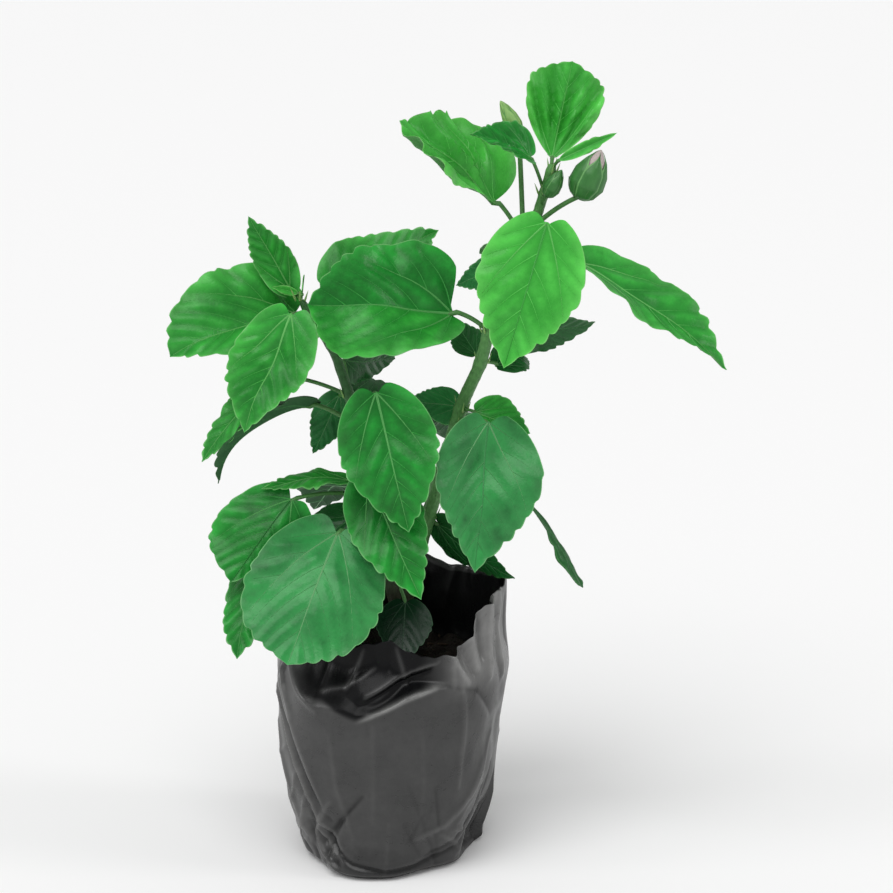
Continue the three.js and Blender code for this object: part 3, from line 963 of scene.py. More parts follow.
# ------------------------------------------------------------------- leaves
class Outline(Enum):
    """Outline of a blade.

    Half width ~ s^base (1-s)^tip, the share by which the point is drawn in, how
    far the lobes reach back, teeth a side, and the steepness of the pointed end.
    """

    OVATE = (0.5, 0.85, 0.3, 0.09, 7, 0.66)
    BROAD = (0.5, 0.68, 0.45, 0.07, 7, 0.82)
    SQUARE = (0.5, 0.28, 0.05, 0.09, 7, 4.5)
    HEART = (0.42, 0.5, 0.2, 0.12, 8, 2.2)
    BLUNT = (0.42, 0.36, 0.05, 0.12, 8, 2.6)
    ROUND = (0.5, 0.5, 0.45, 0.08, 6, 0.95)
    FAN = (0.8, 0.42, 0.15, 0.0, 7, 2.6)
    HIGH = (0.25, 0.5, 0.0, 0.0, 7, 1.6)
    SPREAD = (0.3, 0.5, 0.2, 0.1, 7, 1.2)
    CURLED = (1.5, 0.45, 0.0, 0.0, 7, 2.6)
    STRAP = (1.0, 0.4, 0.2, 0.0, 3, 1.6)
    LANCE = (0.7, 1.0, 0.0, 0.0, 3, 0.6)


@dataclass(frozen=True)
class Leaf:
    """One leaf: its label, where its stalk leaves the shoot, and how its blade lies.

    Its second side may have an outline of its own, its first a tone of its own,
    lighter as painted light on that half, and a fold of its own. Its midrib is
    either a pale rib or a raised rib painted dark as the shade of a groove. A
    young blade is pleated from its foot outwards.
    """

    name: str
    height: float
    stalk: tuple[float, float, float]
    azimuth: float
    pitch: float
    roll: float
    length: float
    width: float
    droop: float
    fold: float
    outline: Outline
    tone: Tone = Tone.GROWN
    wave: float = 1.0
    quilt: float = 1.0
    far: Outline | None = None
    painted_lit_side: Tone | None = None
    painted_groove: bool = False
    near_fold: float | None = None
    pleat: float = 0.0


class Blade:
    """One leaf blade with teeth, veins, quilting and a wavy edge."""

    THICK = 0.55
    SOFT_FOLD = 2.5
    COLUMNS = 33
    ROWS_A_TOOTH = 8
    EDGE_STRIP = 0.5
    PLEATS = 26
    USUAL_LENGTH = 80
    VEIN_STEPS = 30
    TOOTHLESS = 0.3
    TOOTH = 0.019

    def __init__(self, leaf: Leaf, at: Array, seed: int) -> None:
        """Sets the blade out.

        Args:
            leaf: The leaf's sizes.
            at: End of its stalk.
            seed: Seed of its small differences.
        """
        self.leaf, self.at = leaf, at
        self.size = leaf.length / self.USUAL_LENGTH
        self.rng = np.random.default_rng(seed)
        d = heading(leaf.azimuth, leaf.pitch)
        b = unit(np.array([-d[1], d[0], 0.0]))
        n = np.cross(d, b)
        c, s = math.cos(math.radians(leaf.roll)), math.sin(math.radians(leaf.roll))
        self.d, self.b, self.n = d, b * c + n * s, n * c - b * s
        self.phase = self.rng.uniform(0, 2 * math.pi, 4)
        self.swell = Ripple(seed + 900, 34)
        self.veins = list(self._veins())
        self._segments()

    def half_width(self, s: Array | float, side: int = 1) -> Array:
        """Half width of one side of the outline at shares of the length."""
        outline = self.leaf.far if side < 0 and self.leaf.far else self.leaf.outline
        base, tip, point, _, _, steep = outline.value
        s = np.clip(np.asarray(s, float), 0.0, 1.0)
        peak = (base / (base + tip)) ** base * (tip / (base + tip)) ** tip
        drawn_in = 1 - point * smooth(0.8, 1, s)
        plain = self.leaf.width / 2 * s**base * (1 - s) ** tip * drawn_in / peak
        pointed = steep * self.leaf.length * (1 - s)
        return (np.maximum(plain, 1e-3) ** -5 + np.maximum(pointed, 1e-3) ** -5) ** -0.2

    def lobes(self, side: int) -> float:
        """How far the lobe of one side reaches back, as a share of the length."""
        return (self.leaf.far if side < 0 and self.leaf.far else self.leaf.outline).value[3]

    def _grow_vein(self, start: Array, angle: float, bend: float, side: int) -> Array:
        """A vein line from a point of the blade until it nears the edge."""
        length = self.leaf.length
        step = length / self.VEIN_STEPS
        points = [start]
        turned = angle
        for _ in range(2 * self.VEIN_STEPS):
            x, y = points[-1]
            turned -= bend * step / length
            x, y = x + side * math.sin(turned) * step, y + math.cos(turned) * step
            edge = 0.93 * float(self.half_width(max(y, 0.02 * length) / length, side))
            if len(points) > 2 and (y > 0.96 * length or abs(x) > edge):
                break
            points.append(np.array([x, y]))
        return np.array(points)

    def _veins(self) -> Iterable[tuple[Array, float]]:
        """Vein lines in blade coordinates with their half width at the root."""
        length, broad = self.leaf.length, self.leaf.width / self.leaf.length
        size = self.size
        yield np.stack([np.zeros(24), np.linspace(0, 0.97 * length, 24)], -1), 0.72 * size + 0.1
        if self.leaf.outline is Outline.LANCE:
            return
        opening, fork = math.radians(24 + 12 * min(broad, 1)), math.radians(30)
        for side in (-1, 1):
            main = self._grow_vein(np.array([0.0, 0.0]), opening, 0.35, side)
            yield main, 0.48 * size + 0.08
            if broad > 0.62:
                yield self._grow_vein(np.array([0.0, 0.0]), opening + fork, 0.5, side), 0.36 * size + 0.08
            for share in (0.34, 0.6):
                k = int(share * (len(main) - 1))
                if 0 < k < len(main) - 2:
                    yield self._grow_vein(main[k], opening + fork, 0.7, side), 0.22 * size + 0.05
            for k, share in enumerate((0.27, 0.44, 0.6, 0.75)):
                start = np.array([0.0, (share + 0.03 * side + self.rng.uniform(-0.03, 0.03)) * length])
                lateral = self._grow_vein(start, math.radians(47 - 3 * k), 0.8, side)
                if len(lateral) > 3:
                    yield lateral, 0.27 * size + 0.06

    def _segments(self) -> None:
        """Straight pieces of every vein, for distances."""
        starts, ends, weights = [], [], []
        for line, width in self.veins:
            share = np.linspace(1, 0.25, len(line) - 1)
            starts.append(line[:-1])
            ends.append(line[1:])
            weights.append(share * min(1.0, width / (0.45 * self.size)))
        self.starts, self.ends = np.concatenate(starts), np.concatenate(ends)
        self.weights = np.concatenate(weights)

    def relief(self, x: Array, y: Array) -> Array:
        """Height of the face above the plain bent plate.

        Args:
            x: Places across the blade.
            y: Places along the blade.

        Returns:
            Heights in millimetres.
        """
        leaf, size = self.leaf, self.size
        share = np.clip(np.abs(x) / (leaf.width / 2), 0, 1.3)
        along = y / leaf.length
        side = np.where(x > 0, 0, 1)
        wave = np.sin(2 * math.pi * (y / 27) + self.phase[side])
        wave = wave + 0.5 * np.sin(2 * math.pi * y / 14 + self.phase[2 + side])
        rim = leaf.wave * 1.7 * size * share**3 * wave * smooth(-0.05, 0.25, along)
        curl = -2.4 * size * share**2.5
        roll = 2.0 * size * leaf.wave * self.swell.at(np.stack([x, y], -1))
        pleats = leaf.pleat * size * self.pleats(x, y)
        quilting = leaf.quilt * size * 2.0 * self.off_vein(x, y) * (1 - 0.6 * share**6)
        return quilting + rim + curl + roll + pleats

    def pleats(self, x: Array, y: Array) -> Array:
        """Wave of the pleats that spread from the foot of a young blade, -1 in a furrow."""
        turn = np.arctan2(x, y + 0.12 * self.leaf.length)
        return np.sin(self.PLEATS * turn + self.phase[0]) * smooth(0.05, 0.45, y / self.leaf.length)

    def off_vein(self, x: Array, y: Array) -> Array:
        """0 on a vein, near 1 midway between two veins."""
        flat = np.stack([x.ravel(), y.ravel()], -1)[:, None]
        span = self.ends - self.starts
        t = np.clip(((flat - self.starts) * span).sum(-1) / np.maximum((span**2).sum(-1), 1e-9), 0, 1)
        away = np.linalg.norm(flat - (self.starts + t[..., None] * span), axis=-1)
        nearest = (away + (1 - np.minimum(self.weights, 1)) * 2.2 * self.size).min(1).reshape(x.shape)
        return 1 - bell(nearest, 0, 6.2 * self.size)

    def place(self, x: Array, y: Array, lift: Array | float = 0.0) -> Array:
        """Points in space.

        Args:
            x: Places across the blade.
            y: Places along the blade.
            lift: Height above the face.

        Returns:
            Points of shape x.shape + (3,).
        """
        leaf = self.leaf
        bend = math.radians(leaf.droop) or 1e-6
        s = np.clip(y / leaf.length, 0, 1)
        h = bend * (0.5 - s)
        over = y - s * leaf.length
        forward = leaf.length * (math.sin(bend / 2) - np.sin(h)) / bend + over * np.cos(h)
        upward = leaf.length * (np.cos(h) - math.cos(bend / 2)) / bend + over * np.sin(h)
        near_fold = leaf.fold if leaf.near_fold is None else leaf.near_fold
        fold = np.radians(np.where(x > 0, near_fold, leaf.fold))
        folded = (np.sqrt(x**2 + self.SOFT_FOLD**2) - self.SOFT_FOLD) * np.sin(fold)
        raised = folded + self.relief(x, y) + lift
        out = np.cos(h)[..., None] * self.n - np.sin(h)[..., None] * self.d
        plate = forward[..., None] * self.d + upward[..., None] * self.n
        plate = plate + (x * np.cos(fold))[..., None] * self.b
        return self.at + plate + raised[..., None] * out

    def _rows(self) -> Array:
        """Shares of the length where the rows of the mesh lie."""
        teeth = self.leaf.outline.value[4]
        count = teeth * self.ROWS_A_TOOTH
        start = 0.02 + 0.2 * np.linspace(0, 1, 11) ** 1.6
        rest = 0.22 + 0.78 * (1 - (1 - np.linspace(0, 1, count + 1)[1:]) ** 1.25)
        return np.concatenate([start, rest])

    def _outline(self, s: Array, side: int) -> tuple[Array, Array, Array]:
        """Edge of one side of the blade.

        Args:
            s: Shares of the length.
            side: 1 or -1.

        Returns:
            Half width, and how far the teeth push the edge out and forward.
        """
        leaf = self.leaf
        lobes, teeth = self.lobes(side), leaf.outline.value[4]
        w = np.maximum(self.half_width(s, side), 0.12)
        y = s * leaf.length - lobes * leaf.length * (1 - s) ** 4
        arc = np.concatenate([[0], np.cumsum(np.hypot(np.diff(w), np.diff(y)))])
        arc /= arc[-1]
        slope_x, slope_y = np.gradient(w, arc), np.gradient(y, arc)
        norm = np.hypot(slope_x, slope_y)
        share = np.clip((arc - self.TOOTHLESS) / (1 - self.TOOTHLESS), 0, 1)
        beat = share * teeth + 0.22 * np.sin(9 * share + self.phase[0])
        saw = beat % 1.0
        tooth = 0.55 - np.abs(2 * saw**1.35 - 1) ** 2.4
        size = self.TOOTH * leaf.length * smooth(self.TOOTHLESS - 0.02, self.TOOTHLESS + 0.15, arc)
        size *= 1 - smooth(0.9, 0.99, arc)
        size *= 1 + 0.4 * np.sin(beat * 1.9 + self.phase[1])
        push = tooth * size
        return w, push * slope_y / norm, -push * slope_x / norm + 0.35 * push

    def _grid(self) -> tuple[Array, Array, Array]:
        """The mesh on the flat blade.

        Returns:
            Places across, places along, and shares of the half width, rows by columns.
        """
        leaf, s = self.leaf, self._rows()
        across = np.linspace(-1, 1, self.COLUMNS)
        both = [np.array(self._outline(s, side))[..., None] for side in (-1, 1)]
        whole = np.concatenate([[False], across > 0, [True]])
        w, out, ahead = np.where(whole, both[1], both[0])
        lobes = np.where(whole, self.lobes(1), self.lobes(-1))
        strip = np.maximum(1 - self.EDGE_STRIP / np.maximum(w, 1.0), 0.55)
        t = np.concatenate([[-1.0], across, [1.0]]) * np.ones((len(s), 1))
        t[:, 1:-1] *= strip[:, 1:-1]
        share = np.abs(t) ** 5
        x = w * t + np.sign(t) * out * share
        behind = lobes * leaf.length * np.sin(1.15 * math.pi / 2 * np.abs(t)) * (1 - s[:, None]) ** 4
        return x, s[:, None] * leaf.length - behind + ahead * share, t

    def draw(self, draft: Draft, finishes: Finishes) -> None:
        """Adds the blade and its veins to a piece.

        Args:
            draft: The piece.
            finishes: Hands out materials.
        """
        leaf = self.leaf
        x, y, t = self._grid()
        tops = draft.put(self.place(x, y))
        unders = draft.put(self.place(x, y, -self.THICK * (1 - 0.5 * np.abs(t) ** 8)))
        reach = max(float(np.ptp(x)), float(np.ptp(y)))
        chart = np.stack([(x - x.min()) / reach, (y - y.min()) / reach], -1)
        # Pleat furrows and the hollows near veins take the halo colour, mostly painted shade.
        furrow_shade = min(leaf.pleat, 1.0) * np.clip(-self.pleats(x, y), 0, 1) ** 1.5
        zone = np.stack([self.off_vein(x, y) * (1 - 0.8 * furrow_shade), np.abs(t)], -1)
        surface = np.stack([x / PATTERN + self.rng.uniform(0, 40), y / PATTERN], -1)
        face = finishes.get(LEAF_TOPS[leaf.tone])
        back = finishes.get(LEAF_UNDERS[UNDER_OF[leaf.tone]])
        # The edge strip and the rim take the painted edge highlight.
        margin = finishes.get(LIT_MARGINS[leaf.tone])
        # The first half may take a lighter top: painted light on that half.
        bright = finishes.get(LEAF_TOPS[leaf.painted_lit_side or leaf.tone])
        rows, cols = tops.shape
        edge = np.zeros((rows - 1, cols - 1), bool)
        edge[:, 0] = edge[:, -1] = True
        first_side = np.broadcast_to(np.arange(cols - 1) >= cols // 2, edge.shape)
        chart_id = draft.chart()
        for material, half in ((face, ~first_side), (bright, first_side)):
            keep = ~edge & half
            draft.faces(tops, material, chart, surface, zone, turned=True, chart_id=chart_id, keep=keep)
        draft.faces(tops, margin, chart, surface, turned=True, chart_id=chart_id, keep=edge)
        draft.faces(unders, back, chart, surface, zone)
        pair = np.stack([self._border(tops), self._border(unders)])
        draft.faces(pair, margin, small=True, turned=True)
        self._draw_veins(draft, finishes)

    @staticmethod
    def _border(grid: Array) -> Array:
        """Values once round the edge of a grid, the first of them again at the end."""
        return np.concatenate([grid[0], grid[1:, -1], grid[-1, -2::-1], grid[-2::-1, 0]])

    def _draw_veins(self, draft: Draft, finishes: Finishes) -> None:
        """Adds a low rib on the upper face and a stouter one under the blade."""
        strong = 0.4 * self.size + 0.08
        for number, (line, width) in enumerate(self.veins):
            rib = finishes.get((VEINS if width > strong else SIDE_VEINS)[self.leaf.tone])
            # Leaves marked for it take the dark painted groove shade on their raised midrib.
            upper = finishes.get(PAINTED_GROOVES[self.leaf.tone]) if self.leaf.painted_groove and number == 0 else rib
            along = unit(np.gradient(line, axis=0))
            across = np.stack([along[:, 1], -along[:, 0]], -1)
            taper = width * (1 - 0.8 * np.linspace(0, 1, len(line)) ** 0.8)
            for below in (False, True):
                spread = taper * (1.15 if below else 0.9)
                sides = np.array([-1, 0, 1])[:, None]
                strip = line[:, None] + across[:, None] * spread[:, None, None] * sides
                height = taper * (0.75 if below else 0.3) + 0.2 * self.size
                proud = np.array([0.1, 1.0, 0.1]) * height[:, None]
                lift = -self.THICK - proud if below else proud
                index = draft.put(self.place(strip[..., 0], strip[..., 1], lift))
                draft.faces(index, rib if below else upper, small=True, turned=not below)


def stalk_end(root: Array, stalk: tuple[float, float, float]) -> Array:
    """End of a stalk.

    Args:
        root: Where it leaves the shoot.
        stalk: Its direction in degrees from +X, how far it reaches out and how far up.

    Returns:
        The point.
    """
    a = math.radians(stalk[0])
    return root + np.array([math.cos(a) * stalk[1], math.sin(a) * stalk[1], stalk[2]])


def stalk_path(root: Array, end: Array, count: int) -> Array:
    """Middle of a stalk that springs up a little before its end.

    Args:
        root: Where it leaves the shoot.
        end: Where the blade starts.
        count: How many points it has.

    Returns:
        The points.
    """
    reach = np.linalg.norm(end - root)
    return bow(root, (root + end) / 2 + np.array([0, 0, reach * 0.12]), end, count)


@dataclass(frozen=True)
class Bud:
    """One flower bud on its stalk."""

    name: str
    height: float
    stalk: tuple[float, float, float]
    azimuth: float
    pitch: float
    length: float
    width: float
    open_tip: bool = False
    pale: bool = False


class FlowerBuds:
    """Buds: five pointed sepals closed over the petals, with thin bracts below."""

    PROFILE = ((0, 0.35), (0.08, 0.7), (0.3, 1.0), (0.55, 0.93), (0.8, 0.6), (0.95, 0.25), (1.0, 0.06))
    SEPALS = 5
    BRACTS = 7
    PETAL_SHARE = 0.9

    def __init__(self, shoot: Shoot, buds: Sequence[Bud]) -> None:
        """Holds the buds and the shoot that carries them."""
        self.shoot, self.buds = shoot, buds

    def build(self, finishes: Finishes) -> bpy.types.Object:
        """Makes one piece of all buds.

        Args:
            finishes: Hands out materials.

        Returns:
            The piece.
        """
        draft = Draft()
        for bud in self.buds:
            self._draw(draft, bud, finishes)
        return draft.build("flower_buds", sharp=60)

    def _draw(self, draft: Draft, bud: Bud, finishes: Finishes) -> None:
        """Adds one bud and its stalk to the piece."""
        root = self.shoot.at(bud.height)
        end = stalk_end(root, bud.stalk)
        d = heading(bud.azimuth, bud.pitch)
        path = np.vstack([stalk_path(root, end, 12), end + d])
        draft.tube(path, np.linspace(1.45, 1.35, len(path)), finishes.get(STALK), 9)
        u = unit(np.cross(d, [0.0, 1.0, 0.0]))
        axes = (end, d, u, np.cross(d, u))
        s = np.linspace(0, 1, 26)
        shape = np.interp(s, *zip(*self.PROFILE)) * bud.width / 2 * self.PETAL_SHARE
        angle = np.linspace(0, 2 * math.pi, 61)[:-1]
        sepal = finishes.get(STIPULE if bud.pale else SEPAL)
        core = self._ring(axes, s, shape[:, None] * np.ones_like(angle), angle, bud)
        draft.faces(draft.put(core), finishes.get(PETAL) if bud.open_tip else sepal, around=True)
        for k in range(self.SEPALS):
            self._draw_sepal(draft, bud, axes, k, sepal, finishes.get(SEPAL_EDGE))
        for k in range(self.BRACTS):
            self._draw_bract(draft, bud, axes, k, finishes.get(STALK))

    def _draw_sepal(
        self, draft: Draft, bud: Bud, axes: Axes, k: int, face: bpy.types.Material, rim: bpy.types.Material
    ) -> None:
        """Adds one sepal with its keel, its two side ribs and its pale edge."""
        centre = 2 * math.pi * k / self.SEPALS + 0.45
        reach = 0.84 if bud.open_tip and k == self.SEPALS - 1 else 0.98
        rows, t = np.linspace(0, 1, 24), np.linspace(-1, 1, 9)
        half = 0.78 * (1 - smooth(0.55, 1.0, rows)) + 0.02
        share = rows * reach
        r = np.interp(share, *zip(*self.PROFILE)) * bud.width / 2
        proud = 1.0 + 0.05 * (1 - t**2)[None, :] + 0.03 * (k % 2)
        keel = (0.1 * bell(t, 0, 0.16) + 0.06 * bell(np.abs(t), 0.5, 0.16))[None, :]
        grid = self._ring(axes, share, r[:, None] * (proud + keel), centre + half[:, None] * t, bud)
        index = draft.put(grid)
        edge = np.zeros((len(rows) - 1, len(t) - 1), bool)
        edge[:, 0] = edge[:, -1] = True
        chart = draft.chart()
        places = np.stack(np.meshgrid(np.linspace(0, 1, len(t)), rows), -1)
        draft.faces(index, face, places, places * 0.3, keep=~edge, chart_id=chart, small=True)
        draft.faces(index, rim, places, places * 0.3, keep=edge, chart_id=chart, small=True)

    def _draw_bract(self, draft: Draft, bud: Bud, axes: Axes, k: int, material: bpy.types.Material) -> None:
        """Adds one of the thin bracts below the sepals."""
        end, d, u, w = axes
        turn = 2 * math.pi * k / self.BRACTS
        out = math.cos(turn) * u + math.sin(turn) * w
        foot = end + out * bud.width * 0.16 - d * 0.8
        knee = end + out * bud.width * 0.42 - d * 0.5
        tip = end + out * bud.width * 0.56 + d * bud.length * 0.26
        draft.tube(bow(foot, knee, tip, 7), np.linspace(0.5, 0.15, 7), material, 5)

    @staticmethod
    def _ring(axes: Axes, s: Array, r: Array, angle: Array, bud: Bud) -> Array:
        """Points round the bud's axis at shares of its length."""
        end, d, u, w = axes
        angle = np.broadcast_to(angle, r.shape)
        middle = end + d * (s * bud.length - 1.5)[:, None]
        return middle[:, None] + (np.cos(angle) * r)[..., None] * u + (np.sin(angle) * r)[..., None] * w


@dataclass
class LeafMass:
    """The leaves of one stretch of a shoot."""

    node: str
    shoot: Shoot
    slot: str
    leaves: tuple[Leaf, ...]
    seed: int = 0

    def build(self, finishes: Finishes) -> None:
        """Makes the blades and the stalks of this mass.

        Args:
            finishes: Hands out materials.
        """
        blades, stalks = Draft(), Draft()
        for k, leaf in enumerate(self.leaves):
            root = self.shoot.at(leaf.height)
            end = stalk_end(root, leaf.stalk)
            blade = Blade(leaf, end, self.seed * 100 + k)
            blade.draw(blades, finishes)
            self._draw_stalk(stalks, leaf, blade, root, end, finishes)
        stem = self.node.replace("_leaves", "")
        settle(blades.build(f"{stem}_blades", sharp=50), self.slot, (self.node,))
        settle(stalks.build(f"{stem}_stalks"), "green_stem")

    def _draw_stalk(
        self, draft: Draft, leaf: Leaf, blade: Blade, root: Array, end: Array, finishes: Finishes
    ) -> None:
        """Adds a leaf's stalk, the swelling at its foot and its two stipules."""
        material = finishes.get(STALK)
        size = 0.55 + 0.45 * min(leaf.length / 75, 1.1)
        path = stalk_path(root, end, 16)
        under = blade.place(np.zeros(3), np.array([0.02, 0.05, 0.09]) * leaf.length, -Blade.THICK - 0.25)
        path = np.vstack([path[:-1], under])
        t = np.linspace(0, 1, len(path))
        radii = size * (1.25 + 0.55 * bell(t, 0, 0.07) + 0.22 * bell(t, 0.84, 0.06))
        radii *= 1 - 0.75 * smooth(0.86, 1.0, t)
        draft.tube(path, radii, material, 9)
        away = unit((path[3] - path[0]) * np.array([1, 1, 0]) + 1e-6)
        side = np.array([-away[1], away[0], 0.0])
        foot = root + away * float(self.shoot.radius(leaf.height))
        for sign in (-1, 1):
            tip = foot + side * sign * 2.6 + away * 2.2 + np.array([0, 0, 5.5])
            base = foot + side * sign * 1.6 - np.array([0, 0, 0.6])
            line = base + np.linspace(0, 1, 6)[:, None] * (tip - base)
            draft.tube(line, np.array([0.55, 0.6, 0.5, 0.38, 0.22, 0.08]), finishes.get(STIPULE), 5)


O, T = Outline, Tone
MASSES = (
    LeafMass(
        "left_lower_leaves", LEFT, "leaf",
        (
            Leaf(
                "LL3", 176, (-128, 38, 18), -122, -52, -28, 81, 75, 20, 2, O.HEART, T.GROWN, 0.8, 1.2,
                far=O.BLUNT, near_fold=-9,
            ),
            Leaf("LL4", 186, (-174, 13, 9), -165, -33, -47, 44, 34, 20, 0, O.OVATE, T.DEEP),
            Leaf("LL5", 173, (-166, 72, 5), -114, -66, -6, 60, 27, 20, 0, O.BROAD, T.RICH),
            Leaf(
                "LL2", 206, (-157, 47, 3), -150, -48, -47, 57, 56, 20, 4, O.BROAD, T.RICH, far=O.BLUNT,
                painted_groove=True, near_fold=-20,
            ),
            Leaf("LL1", 216, (-143, 12, 3), -166, -4, -8, 50, 18, 4, 8, O.OVATE, T.BRIGHT),
            # LL6 takes the shade tone: painted shade, as it sits deep in the bag.
            Leaf("LL6", 177, (-45, 19, -29), -95, -51, 0, 38, 34, 20, 0, O.BROAD, T.SHADE, 0.7, 0.5),
            Leaf("C5", 206, (-92, 21, 15), -43, -57, 50, 73, 45, 20, 6, O.OVATE, T.RICH, 1.2),
            Leaf("B5", 192, (118, 34, 14), 112, -24, 4, 72, 52, 34, 4, O.OVATE, T.GROWN),
        ),
    ),
    LeafMass(
        "left_middle_leaves", LEFT, "leaf",
        (
            Leaf("C1", 246, (-72, 39, 27), -43, -72, 47, 78, 56, 12, 5, O.BROAD, T.RICH, 0.8, 1.2),
            Leaf("L5", 246, (170, 25, 12), -169, -40, -19, 74, 26, 85, 0, O.OVATE, T.DEEP, near_fold=75),
            Leaf("L6", 256, (106, 29, 2), 166, -64, -112, 38, 22, 20, 0, O.OVATE, T.GROWN),
            Leaf("L7", 256, (93, 36, 0), 42, -6, 44, 39, 24, 20, 0, O.OVATE, T.DEEP),
            Leaf("M3", 258, (111, 15, 24), 49, -10, 115, 46, 30, 20, 0, O.BROAD, T.DEEP),
            Leaf("L4", 263, (175, 43, 11), -168, -51, -36, 62, 26, 30, 10, O.OVATE, T.BRIGHT),
            Leaf("B2", 236, (92, 34, 12), 90, -30, -3, 74, 54, 36, 4, O.BROAD, T.GROWN),
        ),
    ),
    LeafMass(
        "left_tip_leaves", LEFT, "leaf",
        (
            Leaf("M2", 291, (88, 12, 29), 17, 25, 52, 68, 48, 10, 0, O.OVATE, T.BRIGHT, 1.4),
            Leaf(
                "L3", 303, (-108, 38, 12), -143, -62, -43, 69, 47, 20, 6, O.OVATE, T.BRIGHT, 1.4, 1.5,
                far=O.BROAD,
            ),
            Leaf(
                "L2", 309, (145, 9, -1), -162, -16, -56, 77, 71, 60, 14, O.OVATE, T.BRIGHT, 1.2, 1.3,
                far=O.HEART, near_fold=28,
            ),
            Leaf("L1", 318, (180, 5, 5), -151, 60, -116, 49, 23, -10, 16, O.OVATE, T.BRIGHT, 1.0, 1.4),
            Leaf("L8", 317, (-117, 2, 4), -172, 14, -70, 15, 5.5, 0, 20, O.LANCE, T.FRESH),
            Leaf("L9", 317, (-60, 2, 3), 60, 76, -60, 11, 4, 0, 20, O.LANCE, T.FRESH),
            Leaf("B3", 299, (72, 24, 8), 64, -12, 5, 62, 44, 30, 4, O.OVATE, T.BRIGHT),
        ),
    ),
    LeafMass(
        "right_lower_leaves", RIGHT, "leaf",
        (
            Leaf("C6", 193, (23, 5, -5), -18, -30, 122, 54, 38, 24, 0, O.OVATE, T.DEEP),
            Leaf("C7", 211, (14, 50, -9), -17, -56, 8, 62, 12, 14, 0, O.STRAP, T.DEEP, 0.5),
            Leaf(
                "C2", 246, (-52, 28, 6), -107, -74, -33, 83, 67, 16, 18, O.BROAD, T.GROWN, 0.7, 1.0,
                painted_groove=True,
            ),
            Leaf("C3", 254, (-47, 12, 1), 0, -22, 53, 33, 33, 10, 0, O.ROUND, T.BRIGHT, 0.5),
            Leaf("C4", 256, (101, 9, -2), -169, 8, -40, 32, 30, 10, 0, O.OVATE, T.GROWN),
            Leaf("B1", 232, (80, 36, 12), 82, -32, 2, 78, 58, 34, 4, O.BROAD, T.GROWN),
            Leaf("B6", 214, (50, 26, 6), 50, -16, 4, 54, 38, 28, 4, O.OVATE, T.GROWN),
        ),
    ),
    LeafMass(
        "right_middle_leaves", RIGHT, "leaf",
        (
            Leaf("R12", 281, (100, 14, 2), 134, 43, -15, 26, 26, 10, 10, O.BROAD, T.DEEP),
            Leaf("R14", 281, (40, 12, -2), 65, -4, 39, 41, 22, 50, 0, O.BROAD, T.DEEP),
            # M1's first half takes a brighter tone: painted light on the half that faces the light.
            Leaf(
                "M1", 299, (-149, 22, 13), -162, 5, -54, 84, 77, 14, 22, O.SQUARE, T.RICH, 0.9, 1.0,
                far=O.HIGH, painted_lit_side=T.BRIGHT,
            ),
            Leaf("R13", 306, (65, 25, -14), 14, 8, 129, 50, 46, 20, 0, O.OVATE, T.DEEP),
        ),
    ),
    LeafMass(
        "right_upper_leaves", RIGHT, "young_leaf",
        (
            Leaf(
                "R10", 326, (-8, 42, 10), -12, -34, 33, 99, 50, 36, 36, O.OVATE, T.BRIGHT, 0.8, 1.3,
                near_fold=4,
            ),
            Leaf("R11", 328, (75, 22, 6), 160, -23, -75, 38, 20, 20, 0, O.OVATE, T.GROWN),
            Leaf(
                "R9", 338, (-52, 31, 25), -157, -72, -62, 82, 60, 10, 4, O.BROAD, T.FRESH, 0.6, 0.8,
                painted_groove=True,
            ),
            Leaf("B4", 331, (80, 28, 8), 78, -28, 2, 66, 50, 30, 4, O.BROAD, T.BRIGHT),
        ),
    ),
    LeafMass(
        "right_tip_leaves", RIGHT, "young_leaf",
        (
            Leaf(
                "R2", 350, (180, 14, 21), -154, 37, -46, 76, 80, -6, 14, O.CURLED, T.FRESH, 0.8, 1.2,
                far=O.SPREAD, near_fold=30, pleat=2.4,
            ),
            Leaf(
                "R3", 376, (-133, 11, 20), -160, 24, -44, 38, 32, 25, 28, O.BROAD, T.RICH, 1.0, 1.3,
                pleat=1.5,
            ),
            Leaf("R1", 389, (85, 6, 5), 29, 77, 62, 54, 43, -15, 10, O.FAN, T.FRESH, 1.5, 1.2, pleat=2.8),
            Leaf("R5", 387, (-46, 6, 7), -7, 26, 80, 35, 9, 0, 40, O.LANCE, T.FRESH),
        ),
    ),
)
BUDS = (
    Bud("side", 368, (-60, 8, 8), -12, 60, 17, 9),
    Bud("large", 354, (-14, 29, 21), -10, 66, 29, 18, True),
    Bud("long", 350, (103, 11, 57), 178, 60, 22, 8.5, pale=True),
)


